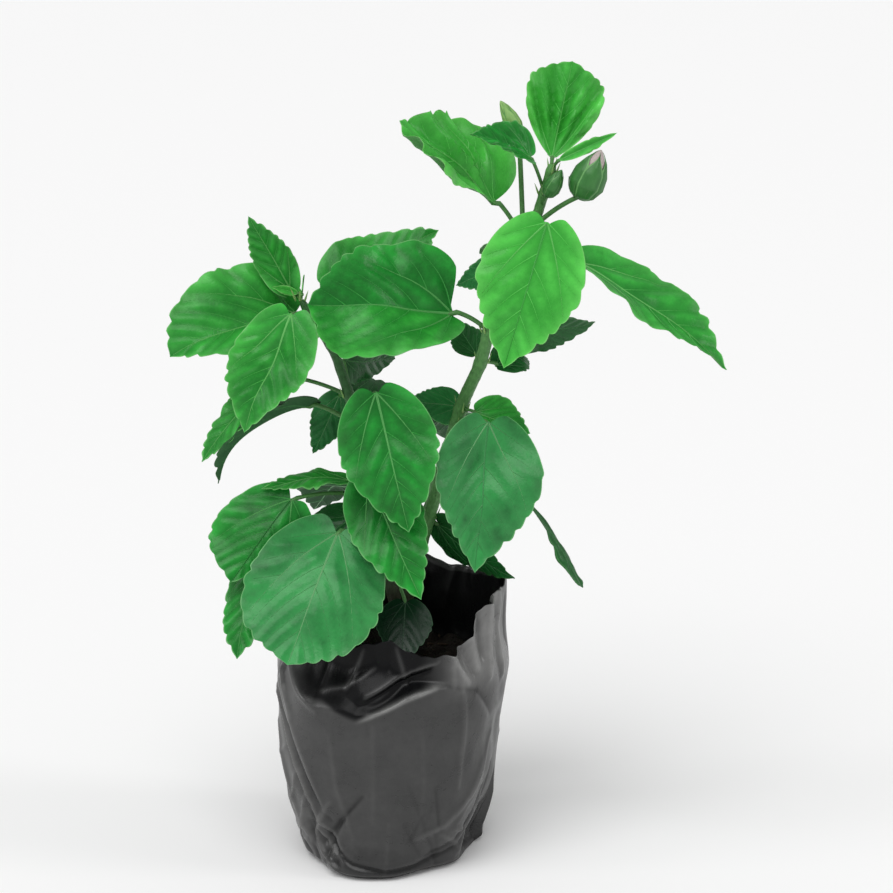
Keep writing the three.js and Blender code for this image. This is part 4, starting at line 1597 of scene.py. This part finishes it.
# -------------------------------------------------------------------- stems
@dataclass
class Stems:
    """Trunk and both shoots with ribbed young bark and swollen leaf joints.

    The foot is a list of (height, radius, lean to +X).
    """

    sides: int = 28
    step: float = 1.6
    bend: float = 4.0
    foot_step: float = 1.2
    foot: tuple[tuple[float, float, float], ...] = (
        (110.0, 9.6, 2.0), (112.3, 9.4, 2.0), (114.3, 7.7, 2.4), (118.3, 6.4, 3.2),
        (125.3, 5.7, 4.2), (134.0, 5.9, 5.0), (137.0, 5.2, 5.2), (139.0, 3.0, 5.3),
    )

    def build(self, finishes: Finishes) -> None:
        """Makes the one piece that stands for the trunk and boughs.

        Args:
            finishes: Hands out materials.
        """
        draft = Draft()
        bark, green = finishes.get(BARK), finishes.get(STEM)
        heights = np.arange(self.foot[0][0], self.foot[-1][0] + 0.1, self.foot_step)
        z, r, x = (np.array(column) for column in zip(*self.foot))
        path = np.stack([np.interp(heights, z, x), np.zeros_like(heights), heights], -1)

        def flare(along: Array, angle: Array) -> Array:
            """Ribs of the root flare, which fade upwards."""
            ribs = 0.1 * np.exp(-along / 9) * np.sin(3 * angle + 0.7)
            ribs = ribs + 0.03 * np.sin(9 * angle + 0.2 * along)
            return ribs + 0.02 * np.sin(17 * angle + 1.0) * np.sin(0.9 * along)

        draft.tube(path, np.interp(heights, z, r), bark, self.sides, False, flare)
        for number, shoot in enumerate((LEFT, RIGHT)):
            joints = [leaf.height for mass in MASSES if mass.shoot is shoot for leaf in mass.leaves]
            skin = green if shoot is RIGHT else finishes.get(DARK_STEM)
            self._draw_shoot(draft, shoot, joints, number, skin)
        obj = draft.build("bark_and_stems")
        boughs = ("left_bough", "left_upper_bough", "right_bough", "right_upper_bough")
        settle(obj, "green_stem", ("trunk", *boughs))

    def _draw_shoot(
        self, draft: Draft, shoot: Shoot, joints: list[float], number: int, material: bpy.types.Material
    ) -> None:
        """Adds one shoot, rounded where its named points turn."""
        z = np.arange(FORK[2] - 3, shoot.top + 0.1, self.step)
        path = shoot.at(z)
        below, above = shoot.at(z - self.bend), shoot.at(np.minimum(z + self.bend, shoot.top))
        rounded = (below + path * 2 + above)[:, :2] / 4
        path[:, :2] = np.where((z < FORK[2])[:, None], np.array(FORK[:2]), rounded)
        radii = np.asarray(shoot.radius(z), float)
        swollen = np.max([bell(z, joint, 2.2) for joint in joints], axis=0)
        radii = radii * (0.97 + 0.12 * swollen)
        radii[-3:] *= np.array([0.95, 0.8, 0.5])
        bumps = Ripple(40 + number, 2.2, axes=2)

        def ribs(along: Array, angle: Array) -> Array:
            """Fine ribs and small bumps of the bark."""
            lines = 0.03 * np.sin(7 * angle + 0.05 * along) + 0.018 * np.sin(13 * angle + 1.3)
            spots = np.broadcast_arrays(4 * np.cos(angle) + 0 * along, 0.8 * along + 4 * np.sin(angle))
            return lines + 0.02 * bumps.at(np.stack(spots, -1))

        draft.tube(path, radii, material, self.sides, False, ribs, smooth(140, 190, z))


# ------------------------------------------------------------- bag and soil
@dataclass(frozen=True)
class Fold:
    """A crease of the film: a line of (degrees, height), its depth and width."""

    line: tuple[tuple[float, float], ...]
    depth: float
    width: float


@dataclass
class GrowBag:
    """Crumpled bag: full below, gathered at the foot, tucked in at the front.

    The profile is a list of (height, radius). The front rim and the crest below it
    are lists of (degrees, height).
    """

    columns: int = 400
    rows: int = 150
    film: float = 0.6
    mean_radius: float = 64.0
    seam_reach: tuple[float, float] = (-30.0, 432.0)
    seed: int = 7
    foot_folds: int = 46
    rim_folds: int = 34
    body_folds: int = 26
    profile: tuple[tuple[float, float], ...] = (
        (0, 45), (4, 52), (12, 56), (30, 60.5), (60, 63.5), (90, 65.5), (112, 66), (135, 65),
    )
    front_rim: tuple[tuple[float, float], ...] = (
        (222, 129), (240, 131), (256, 135.5), (270, 138), (278, 134), (287, 129.5), (298, 128.5),
        (306.5, 128.5), (312, 132), (316.4, 137.5), (319, 146), (326, 152.5), (332, 153), (345, 152),
    )
    crest: tuple[tuple[float, float], ...] = (
        (200, 113), (220, 107), (243, 96.5), (254, 95), (261, 98.5), (277, 107), (294, 113), (310, 117),
    )
    folds: tuple[Fold, ...] = (
        Fold(((196, 104), (214, 84), (226, 60), (234, 40)), 1.9, 3.2),
        Fold(((190, 92), (206, 66), (218, 44), (228, 26)), -1.6, 3.0),
        Fold(((186, 76), (198, 50), (210, 30), (222, 14)), 2.0, 2.8),
        Fold(((180, 60), (192, 34), (206, 14), (214, 6)), -1.8, 2.6),
        Fold(((200, 112), (208, 100), (214, 88)), 2.2, 2.4),
        Fold(((206, 120), (220, 106), (232, 97)), 1.6, 2.2),
        Fold(((308, 118), (309, 80), (307, 52)), 1.1, 1.3),
        Fold(((300, 112), (318, 106), (330, 90)), -1.5, 3.0),
        Fold(((326, 62), (316, 44), (300, 30), (284, 24)), 1.4, 2.6),
        Fold(((340, 46), (326, 30), (308, 17), (290, 12)), -1.6, 2.6),
        Fold(((336, 76), (326, 56), (318, 44)), 1.5, 2.4),
        Fold(((262, 92), (262, 60), (261, 34)), 0.5, 1.6),
        Fold(((286, 96), (287, 60), (286, 30)), 0.45, 1.6),
        Fold(((240, 84), (243, 52), (250, 24)), 0.7, 2.4),
        Fold(((256, 103), (274, 114), (292, 121)), -1.8, 1.5),
        Fold(((258, 108), (276, 118), (296, 126)), 1.5, 1.4),
        Fold(((232, 108), (246, 112), (262, 122)), 1.0, 3.0),
        Fold(((222, 28), (230, 21), (250, 9.5), (266, 6), (283, 6.5), (304, 11.5), (332, 20)), -2.0, 1.8),
        Fold(((193, 100), (209, 69), (233, 31), (243, 17)), 2.2, 1.8),
        Fold(((199, 98), (216, 64), (238, 33)), -1.5, 2.0),
        Fold(((228, 26), (234, 19), (241, 12)), 2.4, 1.2),
        Fold(((226, 18), (234, 9), (243, 4)), 2.2, 1.2),
        Fold(((308, 26), (318, 22), (328, 30)), 1.8, 1.4),
        Fold(((300, 140), (304, 128), (311, 112)), 3.0, 2.0),
        Fold(((308, 146), (311, 132), (316, 116)), -2.8, 1.7),
        Fold(((315, 156), (316, 138), (319, 118)), 3.4, 1.8),
        Fold(((323, 158), (322, 140), (323, 124)), -3.0, 1.6),
        Fold(((331, 158), (329, 138), (327, 112)), 3.0, 2.0),
        Fold(((340, 158), (337, 140), (335, 122)), -2.4, 1.8),
        Fold(((348, 158), (346, 138), (343, 108)), 2.2, 2.2),
        Fold(((20, 160), (16, 128), (22, 98)), 1.8, 3.0),
        Fold(((52, 158), (60, 124), (54, 90), (62, 50)), -1.6, 3.0),
        Fold(((84, 156), (92, 118), (88, 84)), 1.9, 3.2),
        Fold(((120, 156), (112, 120), (124, 84), (118, 44)), -1.7, 3.0),
        Fold(((150, 150), (156, 116), (146, 84)), 1.8, 2.8),
        Fold(((40, 84), (62, 66), (84, 58)), 1.2, 2.8),
        Fold(((100, 66), (122, 54), (146, 52)), -1.3, 2.8),
        Fold(((10, 64), (28, 48), (44, 26)), 1.5, 2.8),
    )

    def radius(self, z: Array, angle: Array) -> Array:
        """Radius of the plain bag at heights and angles."""
        low, high = 1 - smooth(4, 40, z), smooth(108, 132, z)
        r = np.interp(z, *zip(*self.profile))
        r = r + 1.6 * low * np.sin(7 * angle + 0.6) + np.sin(3 * angle + 1.1) * smooth(0, 20, z)
        r = r + high * (1.6 * np.sin(9 * angle + 0.4) - 2)
        front = bell(angle, math.radians(248), math.radians(34))
        degrees = np.degrees(angle) % 360
        toe = 12 * bell(degrees, 243, 17) + 7 * bell(degrees, 270, 20)
        flank = 5.5 * bell((degrees + 190) % 360, 180, 30) * smooth(0, 12, z) * (1 - smooth(70, 112, z))
        return r - 11 * front * smooth(100, 124, z) + toe * (1 - smooth(0, 24, z)) - flank

    def rim(self, angle: Array) -> Array:
        """Height of the torn-off rim."""
        back = 156 + 4 * np.sin(2 * angle + 2.6) + 1.5 * np.sin(5 * angle)
        back = back - 30 * bell(angle, math.radians(200), math.radians(45))
        back = back + 7 * bell(angle, math.radians(88), math.radians(24))
        back = back - 3 * smooth(math.radians(325), math.radians(350), angle)
        degrees = np.degrees(angle)
        front = np.interp(degrees, *zip(*self.front_rim))
        share = smooth(215, 232, degrees) * (1 - smooth(330, 345, degrees))
        return back + (front - back) * share

    def unrolled(self, degrees: Array | float) -> Array | float:
        """Place round the bag in millimetres on the unrolled film."""
        return degrees * math.pi / 180 * self.mean_radius

    def small_folds(self) -> list[Fold]:
        """Small folds at the foot, below the rim and on the body, drawn at random from the seed."""
        rng = np.random.default_rng(self.seed)
        small = []
        for _ in range(self.foot_folds):
            a, h = rng.uniform(0, 360), rng.uniform(0, 26)
            turn = rng.uniform(-24, 24)
            calm = 0.45 if 250 < a < 305 else 1.0
            line = ((a, h), (a + turn * 0.5, h + rng.uniform(6, 16)), (a + turn, h + rng.uniform(16, 34)))
            depth = calm * rng.uniform(0.8, 1.9) * rng.choice([-1, 1])
            small.append(Fold(line, depth, rng.uniform(1.2, 2.4)))
        for _ in range(self.rim_folds):
            a = rng.uniform(0, 360)
            h = 150 - rng.uniform(0, 40)
            line = ((a, h + 12), (a + rng.uniform(-8, 8), h - 8))
            depth = rng.uniform(0.5, 1.3) * rng.choice([-1, 1])
            small.append(Fold(line, depth, rng.uniform(1.0, 2.2)))
        for _ in range(self.body_folds):
            a, h = rng.uniform(0, 360), rng.uniform(30, 110)
            side = rng.uniform(-16, 16)
            calm = 0.35 if 225 < a < 310 else 1.0
            line = ((a, h), (a + side, h + rng.uniform(-14, 14)))
            depth = calm * rng.uniform(0.3, 0.8) * rng.choice([-1, 1])
            small.append(Fold(line, depth, rng.uniform(1.2, 2.6)))
        return small

    def lines(self, fold: Fold) -> Iterable[Array]:
        """The fold's line on the unrolled film, and again a turn further where that is near."""
        for shift in (-360, 0, 360):
            line = np.array([(self.unrolled(a + shift), h) for a, h in fold.line])
            if line[:, 0].max() >= self.seam_reach[0] and line[:, 0].min() <= self.seam_reach[1]:
                yield line

    @staticmethod
    def nearest(flat: Array, line: Array) -> tuple[Array, Array]:
        """How far points lie from a line, and how far along it.

        Args:
            flat: Points on the unrolled film.
            line: Points along the line.

        Returns:
            Distances, and shares of the line from 0 to 1.
        """
        best, along = np.full(flat.shape[:-1], 1e9), np.zeros(flat.shape[:-1])
        for i in range(len(line) - 1):
            span = line[i + 1] - line[i]
            t = np.clip(((flat - line[i]) @ span) / (span @ span), 0, 1)
            away = np.linalg.norm(flat - (line[i] + t[..., None] * span), axis=-1)
            closer = away < best
            best = np.where(closer, away, best)
            along = np.where(closer, (i + t) / (len(line) - 1), along)
        return best, along

    def creased(self, flat: Array) -> tuple[Array, Array]:
        """All folds together.

        Args:
            flat: Points on the unrolled film.

        Returns:
            How far the film stands out, in millimetres, and how much lighter it is: real whitening and
            painted sheen on ridges, painted shade in hollows.
        """
        total, whitening_sheen_and_shade = np.zeros(flat.shape[:-1]), np.zeros(flat.shape[:-1])
        for fold in (*self.folds, *self.small_folds()):
            # Ridges grow lighter, as real whitening of stretched film and as painted sheen; hollow creases
            # grow darker, as painted shade.
            stretch = fold.depth - 0.2 if fold.depth > 0.3 else 0.4 * fold.depth
            for line in self.lines(fold):
                away, along = self.nearest(flat, line)
                strength = np.sin(math.pi * np.clip(0.12 + 0.76 * along, 0, 1)) ** 0.6
                round_off = np.sqrt(away**2 + 0.81) - 0.9
                soft = np.exp(-round_off / (3.2 * fold.width)) / (1 + (away / fold.width) ** 2)
                total += fold.depth * strength * (0.5 * soft + 0.6 * np.exp(-round_off / fold.width))
                whitening_sheen_and_shade += stretch * strength * bell(away, 0, 1.3)
        return total, whitening_sheen_and_shade

    def crumple(self, z: Array, angle: Array) -> tuple[Array, Array]:
        """Folds, tuck and small crumples.

        Args:
            z: Heights.
            angle: Angles round the bag.

        Returns:
            How far the film stands out, in millimetres, and, from 0 to 1, its haze with painted sheen and
            shade, and the painted shade that lowers its shine.
        """
        degrees = np.degrees(angle) % 360
        flat = np.stack([self.unrolled(degrees), z], -1)
        total, whitening_sheen_and_shade = self.creased(flat)
        share = smooth(205, 226, degrees) * (1 - smooth(284, 306, degrees))
        above = z - np.interp(np.degrees(angle), *zip(*self.crest))
        lumps = Ripple(17, 24)
        step = 4.5 + 7.0 * (1 - smooth(240, 262, degrees))
        tuck = smooth(0, 1, (above + 1.6 * lumps.at(flat)) / step) * np.exp(-np.maximum(above, 0) / 15)
        bright = smooth(252, 264, degrees) * (1 - smooth(292, 300, degrees))
        lip = bell(above, -0.6, 1.3)
        deep = 4.5 + 3.0 * smooth(236, 262, degrees)
        total += share * (1.5 * lip * bright - deep * tuck * (1 + 0.2 * lumps.at(flat + 40)))
        total -= 8.0 * bell(degrees, 342, 28) * (1 - smooth(6, 52, z))
        around = around_axis(angle, self.mean_radius, z)
        total += 0.8 * Ripple(11, 40, axes=3).at(around) + 0.18 * Ripple(12, 12, axes=3).at(around)
        right = smooth(296, 312, degrees) * (1 - smooth(350, 360, degrees)) * smooth(98, 124, z)
        left = smooth(176, 188, degrees) * (1 - smooth(214, 232, degrees))
        left = left * smooth(8, 24, z) * (1 - smooth(96, 118, z))
        # Painted shade in the tuck below the front crest.
        dark = share * smooth(-1, 3, above + 2.2 * lumps.at(flat + 11) * (1 - bright))
        # Haze: real whitening of creased film, and painted sheen on the right below the rim, on the left
        # flank and along ridges.
        haze_sheen_and_shade = 0.16 + 0.55 * right + 0.14 * left + (0.14 + 0.1 * right) * np.clip(whitening_sheen_and_shade, -0.6, 3)
        # Less haze in the tuck as painted shade; a painted highlight along the lip of the crest.
        haze_sheen_and_shade = haze_sheen_and_shade - 0.17 * dark + 0.7 * share * lip * bright
        # Painted shade: the film is darker towards the foot.
        haze_sheen_and_shade = haze_sheen_and_shade * (1 - 0.5 * (1 - smooth(4, 22, z)))
        # Painted highlights: glints on the strongest creases at the foot.
        haze_sheen_and_shade = haze_sheen_and_shade + 0.2 * np.clip(whitening_sheen_and_shade - 1.2, 0, 2) * (1 - smooth(14, 30, z))
        return total * smooth(0, 5, z), np.stack([np.clip(haze_sheen_and_shade, 0, 1), np.clip(dark - whitening_sheen_and_shade, 0, 1)], -1)

    def surface(self, share: Array, angle: Array, inset: Array) -> tuple[Array, Array]:
        """Points of the film.

        Args:
            share: Height as a share of the rim's.
            angle: Angles round the bag.
            inset: How far inside the outer face.

        Returns:
            Points of shape share.shape + (3,), and there the haze with painted sheen and shade, and the
            painted shade that lowers the shine.
        """
        z = share * self.rim(angle)
        ragged = 0.45 * np.sin(23 * angle) + 0.3 * np.sin(41 * angle + 1)
        stands_out, haze_sheen_and_shade = self.crumple(z, angle)
        r = self.radius(z, angle) + stands_out - inset
        return around_axis(angle, r, z + ragged * smooth(0.93, 1.0, share)), haze_sheen_and_shade

    def build(self, finishes: Finishes) -> None:
        """Makes the bag.

        Args:
            finishes: Hands out materials.
        """
        draft = Draft()
        film = finishes.get(FilmFinish())
        turn = np.arange(self.columns) * 2 * math.pi / self.columns
        outer = np.concatenate([[0.0, 0.004, 0.012], np.linspace(0.022, 1, self.rows)])
        inner = np.concatenate([np.linspace(1, 0.66, 52)[1:], np.linspace(0.6, 0.03, 14)])
        heights = np.concatenate([outer, inner])
        share, angle = np.meshgrid(heights, turn, indexing="ij")
        hidden = self.film + 2.6 * (1 - smooth(0.62, 0.78, inner))
        inset = np.concatenate([np.zeros(len(outer)), hidden])[:, None]
        points, haze_sheen_and_shade = self.surface(share, angle, inset)
        index = draft.put(points)
        u, v = np.meshgrid(np.linspace(0, 1, self.columns + 1), heights)
        surface = np.stack([u * 4.0, v * 1.5], -1)
        cut = len(outer)
        zone = np.concatenate([haze_sheen_and_shade, haze_sheen_and_shade[:, :1]], axis=1)
        # Painted shade inside the bag: the inner film keeps a tenth of its haze and loses shine.
        zone[cut + 3 :] = zone[cut + 3 :] * (0.1, 0.0) + (0.0, 1.0)
        draft.faces(index[:cut], film, np.stack([u, v], -1)[:cut], surface[:cut], zone[:cut], around=True)
        back = slice(cut - 1, None)
        chart = np.stack([u, 1 - v], -1)
        draft.faces(index[back], film, chart[back], surface[back] + 3.3, zone[back], around=True)
        draft.fan(index[0], np.array([0.0, 0.0, 0.0]), film, turned=True)
        draft.fan(index[-1], np.array([0.0, 0.0, float(points[-1, :, 2].mean())]), film)
        settle(draft.build("crumpled_bag"), "polythene", ("grow_bag",))


@dataclass
class PottingMix:
    """Crumbly soil that fills the bag to its level."""

    bag: GrowBag
    rings: int = 70
    columns: int = 220
    clods: int = 520
    crumbs: int = 70
    seed: int = 21
    foot: float = 3.0
    levels: tuple[float, ...] = (98, 102, 106, 110, 114)

    def build(self, finishes: Finishes) -> None:
        """Makes the soil and its loose crumbs.

        Args:
            finishes: Hands out materials.
        """
        draft = Draft()
        soil = finishes.get(SHADED_SOIL)
        rng = np.random.default_rng(self.seed)
        angle = np.arange(self.columns) * 2 * math.pi / self.columns
        wall = np.min([self._wall(level, angle) for level in self.levels], axis=0)
        share = np.linspace(0.02, 1, self.rings)[:, None]
        r = share * wall[None, :]
        x, y = r * np.cos(angle), r * np.sin(angle)
        place = np.stack([x, y], -1)
        z = SOIL_TOP - 2.6 + 1.3 * Ripple(31, 26).at(place) + 0.5 * Ripple(32, 7).at(place)
        z = z - 5 * smooth(0.84, 1.0, share)
        centres = np.stack([rng.uniform(-62, 62, self.clods), rng.uniform(-62, 62, self.clods)], -1)
        sizes = rng.uniform(1.4, 4.2, self.clods)
        for centre, size in zip(centres, sizes):
            away = np.hypot(x - centre[0], y - centre[1])
            z = z + 0.55 * np.sqrt(np.maximum(size**2 - away**2, 0)) * (1 - smooth(0.9, 1.0, share))
        z = np.minimum(z, SOIL_TOP + 2.2)
        top = draft.put(np.stack([x, y, z], -1))
        u, v = np.meshgrid(np.linspace(0, 1, self.columns + 1), share.ravel())
        turn = 2 * math.pi * u
        chart = np.stack([0.5 + 0.5 * v * np.cos(turn), 0.5 + 0.5 * v * np.sin(turn)], -1)
        draft.faces(top, soil, chart, chart * 1.3, around=True, turned=True)
        draft.fan(top[0], np.array([0.0, 0.0, float(z[0].mean())]), soil)
        side = []
        for level in np.linspace(self.levels[0] - 1, self.foot, 24):
            wide = np.minimum(self._wall(level, angle), self._wall(level - 2, angle))
            side.append(around_axis(angle, wide, np.full_like(angle, level)))
        skirt = draft.put(np.stack(side))
        draft.faces(np.concatenate([top[-1:], skirt]), soil, around=True, turned=True)
        draft.fan(skirt[-1], np.array([0.0, 0.0, self.foot]), soil, turned=True)
        settle(draft.build("potting_mix"), "soil", ("potting_soil",))
        self._crumbs(finishes, rng)

    def _wall(self, level: float, angle: Array) -> Array:
        """Radius that stays inside the film at a height."""
        z = np.full_like(angle, level)
        return self.bag.radius(z, angle) + np.minimum(self.bag.crumple(z, angle)[0], 0) - 4.6

    def _crumbs(self, finishes: Finishes, rng: np.random.Generator) -> None:
        """Makes the loose bits of bark that lie on the soil."""
        draft = Draft()
        material = finishes.get(SHADED_CRUMB)
        for _ in range(self.crumbs):
            a = rng.uniform(0, 2 * math.pi)
            away = 12 + (float(self._wall(106, np.array([a]))[0]) - 18) * math.sqrt(rng.uniform())
            middle = np.array([away * math.cos(a), away * math.sin(a), SOIL_TOP + rng.uniform(-0.6, 0.8)])
            way = heading(rng.uniform(0, 360), rng.uniform(-14, 14)) * rng.uniform(1.4, 4.0)
            size = rng.uniform(0.5, 1.3)
            path = middle + np.linspace(-1, 1, 5)[:, None] * way
            draft.tube(path, size * np.array([0.35, 0.9, 1.0, 0.8, 0.3]), material, 6)
        settle(draft.build("soil_crumbs"), "soil")


# ------------------------------------------------------------------- studio
@dataclass
class Studio:
    """Plain pale floor, soft light and the camera."""

    camera_at: tuple[float, float, float] = (0.031, -1.4128, 0.5602)
    tilt: float = 77.0
    lens: float = 104.94
    floor_colour: Colour = (0.93, 0.93, 0.93)
    floor_drift: float = 0.985
    floor_reach: float = 30.0
    sky: float = 0.47

    def build(self) -> None:
        """Makes camera, lights, world and floor."""
        scene = bpy.context.scene
        scene.view_settings.view_transform = "Standard"
        camera = bpy.data.cameras.new("camera")
        camera.lens, camera.sensor_width = self.lens, 36.0
        holder = bpy.data.objects.new("camera", camera)
        holder.location, holder.rotation_euler = self.camera_at, (math.radians(self.tilt), 0, 0)
        scene.collection.objects.link(holder)
        scene.camera = holder
        self._floor()
        world = bpy.data.worlds.new("soft_sky")
        world.use_nodes = True
        back = world.node_tree.nodes["Background"]
        back.inputs["Color"].default_value = (1.0, 1.0, 1.0, 1.0)
        back.inputs["Strength"].default_value = self.sky
        scene.world = world
        self._light("key", (-0.25, -0.62, 1.0), 48.0, 1.8)
        self._light("left_edge", (-1.0, -0.25, 0.35), 16.0, 0.45)
        self._light("right_edge", (1.0, -0.2, 0.45), 16.0, 0.5)

    def _floor(self) -> None:
        """Makes the floor, which is no part of the plant."""
        mesh = bpy.data.meshes.new("floor")
        far = self.floor_reach
        mesh.from_pydata([(-far, -far, 0), (far, -far, 0), (far, far, 0), (-far, far, 0)], [], [(0, 1, 2, 3)])
        floor = bpy.data.objects.new("floor", mesh)
        bpy.context.scene.collection.objects.link(floor)
        material, tree, shader = start_material("pale_floor", 0.7, 0.2)
        noise = tree.add("ShaderNodeTexNoise", {"Scale": 0.8, "Detail": 3.0})
        light = self.floor_colour
        colour = tree.blend(noise.outputs[0], light, tuple(c * self.floor_drift for c in light))
        tree.tree.links.new(colour, shader.inputs["Base Color"])
        mesh.materials.append(material)

    @staticmethod
    def _light(name: str, at: Sequence[float], spread: float, strength: float) -> None:
        """Makes a soft far light.

        Args:
            name: Its name.
            at: The direction that it comes from.
            spread: Its width in the sky, in degrees.
            strength: Irradiance.
        """
        data = bpy.data.lights.new(name, "SUN")
        data.angle, data.energy = math.radians(spread), strength
        light = bpy.data.objects.new(name, data)
        way = -unit(np.array(at, float))
        yaw = math.atan2(way[1], way[0])
        dip = math.atan2(-way[2], math.hypot(way[0], way[1]))
        light.rotation_euler = (math.pi / 2 - dip, 0, yaw - math.pi / 2)
        bpy.context.scene.collection.objects.link(light)


def main() -> None:
    """Dresses the frame, piece by piece."""
    logging.basicConfig(level=logging.INFO, format="%(name)s: %(message)s")
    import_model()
    Studio().build()
    finishes = Finishes()
    bag = GrowBag()
    bag.build(finishes)
    PottingMix(bag).build(finishes)
    Stems().build(finishes)
    for number, mass in enumerate(MASSES):
        mass.seed = number + 1
        mass.build(finishes)
    settle(FlowerBuds(RIGHT, BUDS).build(finishes), "young_leaf")
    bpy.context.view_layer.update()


if __name__ == "__main__":
    main()
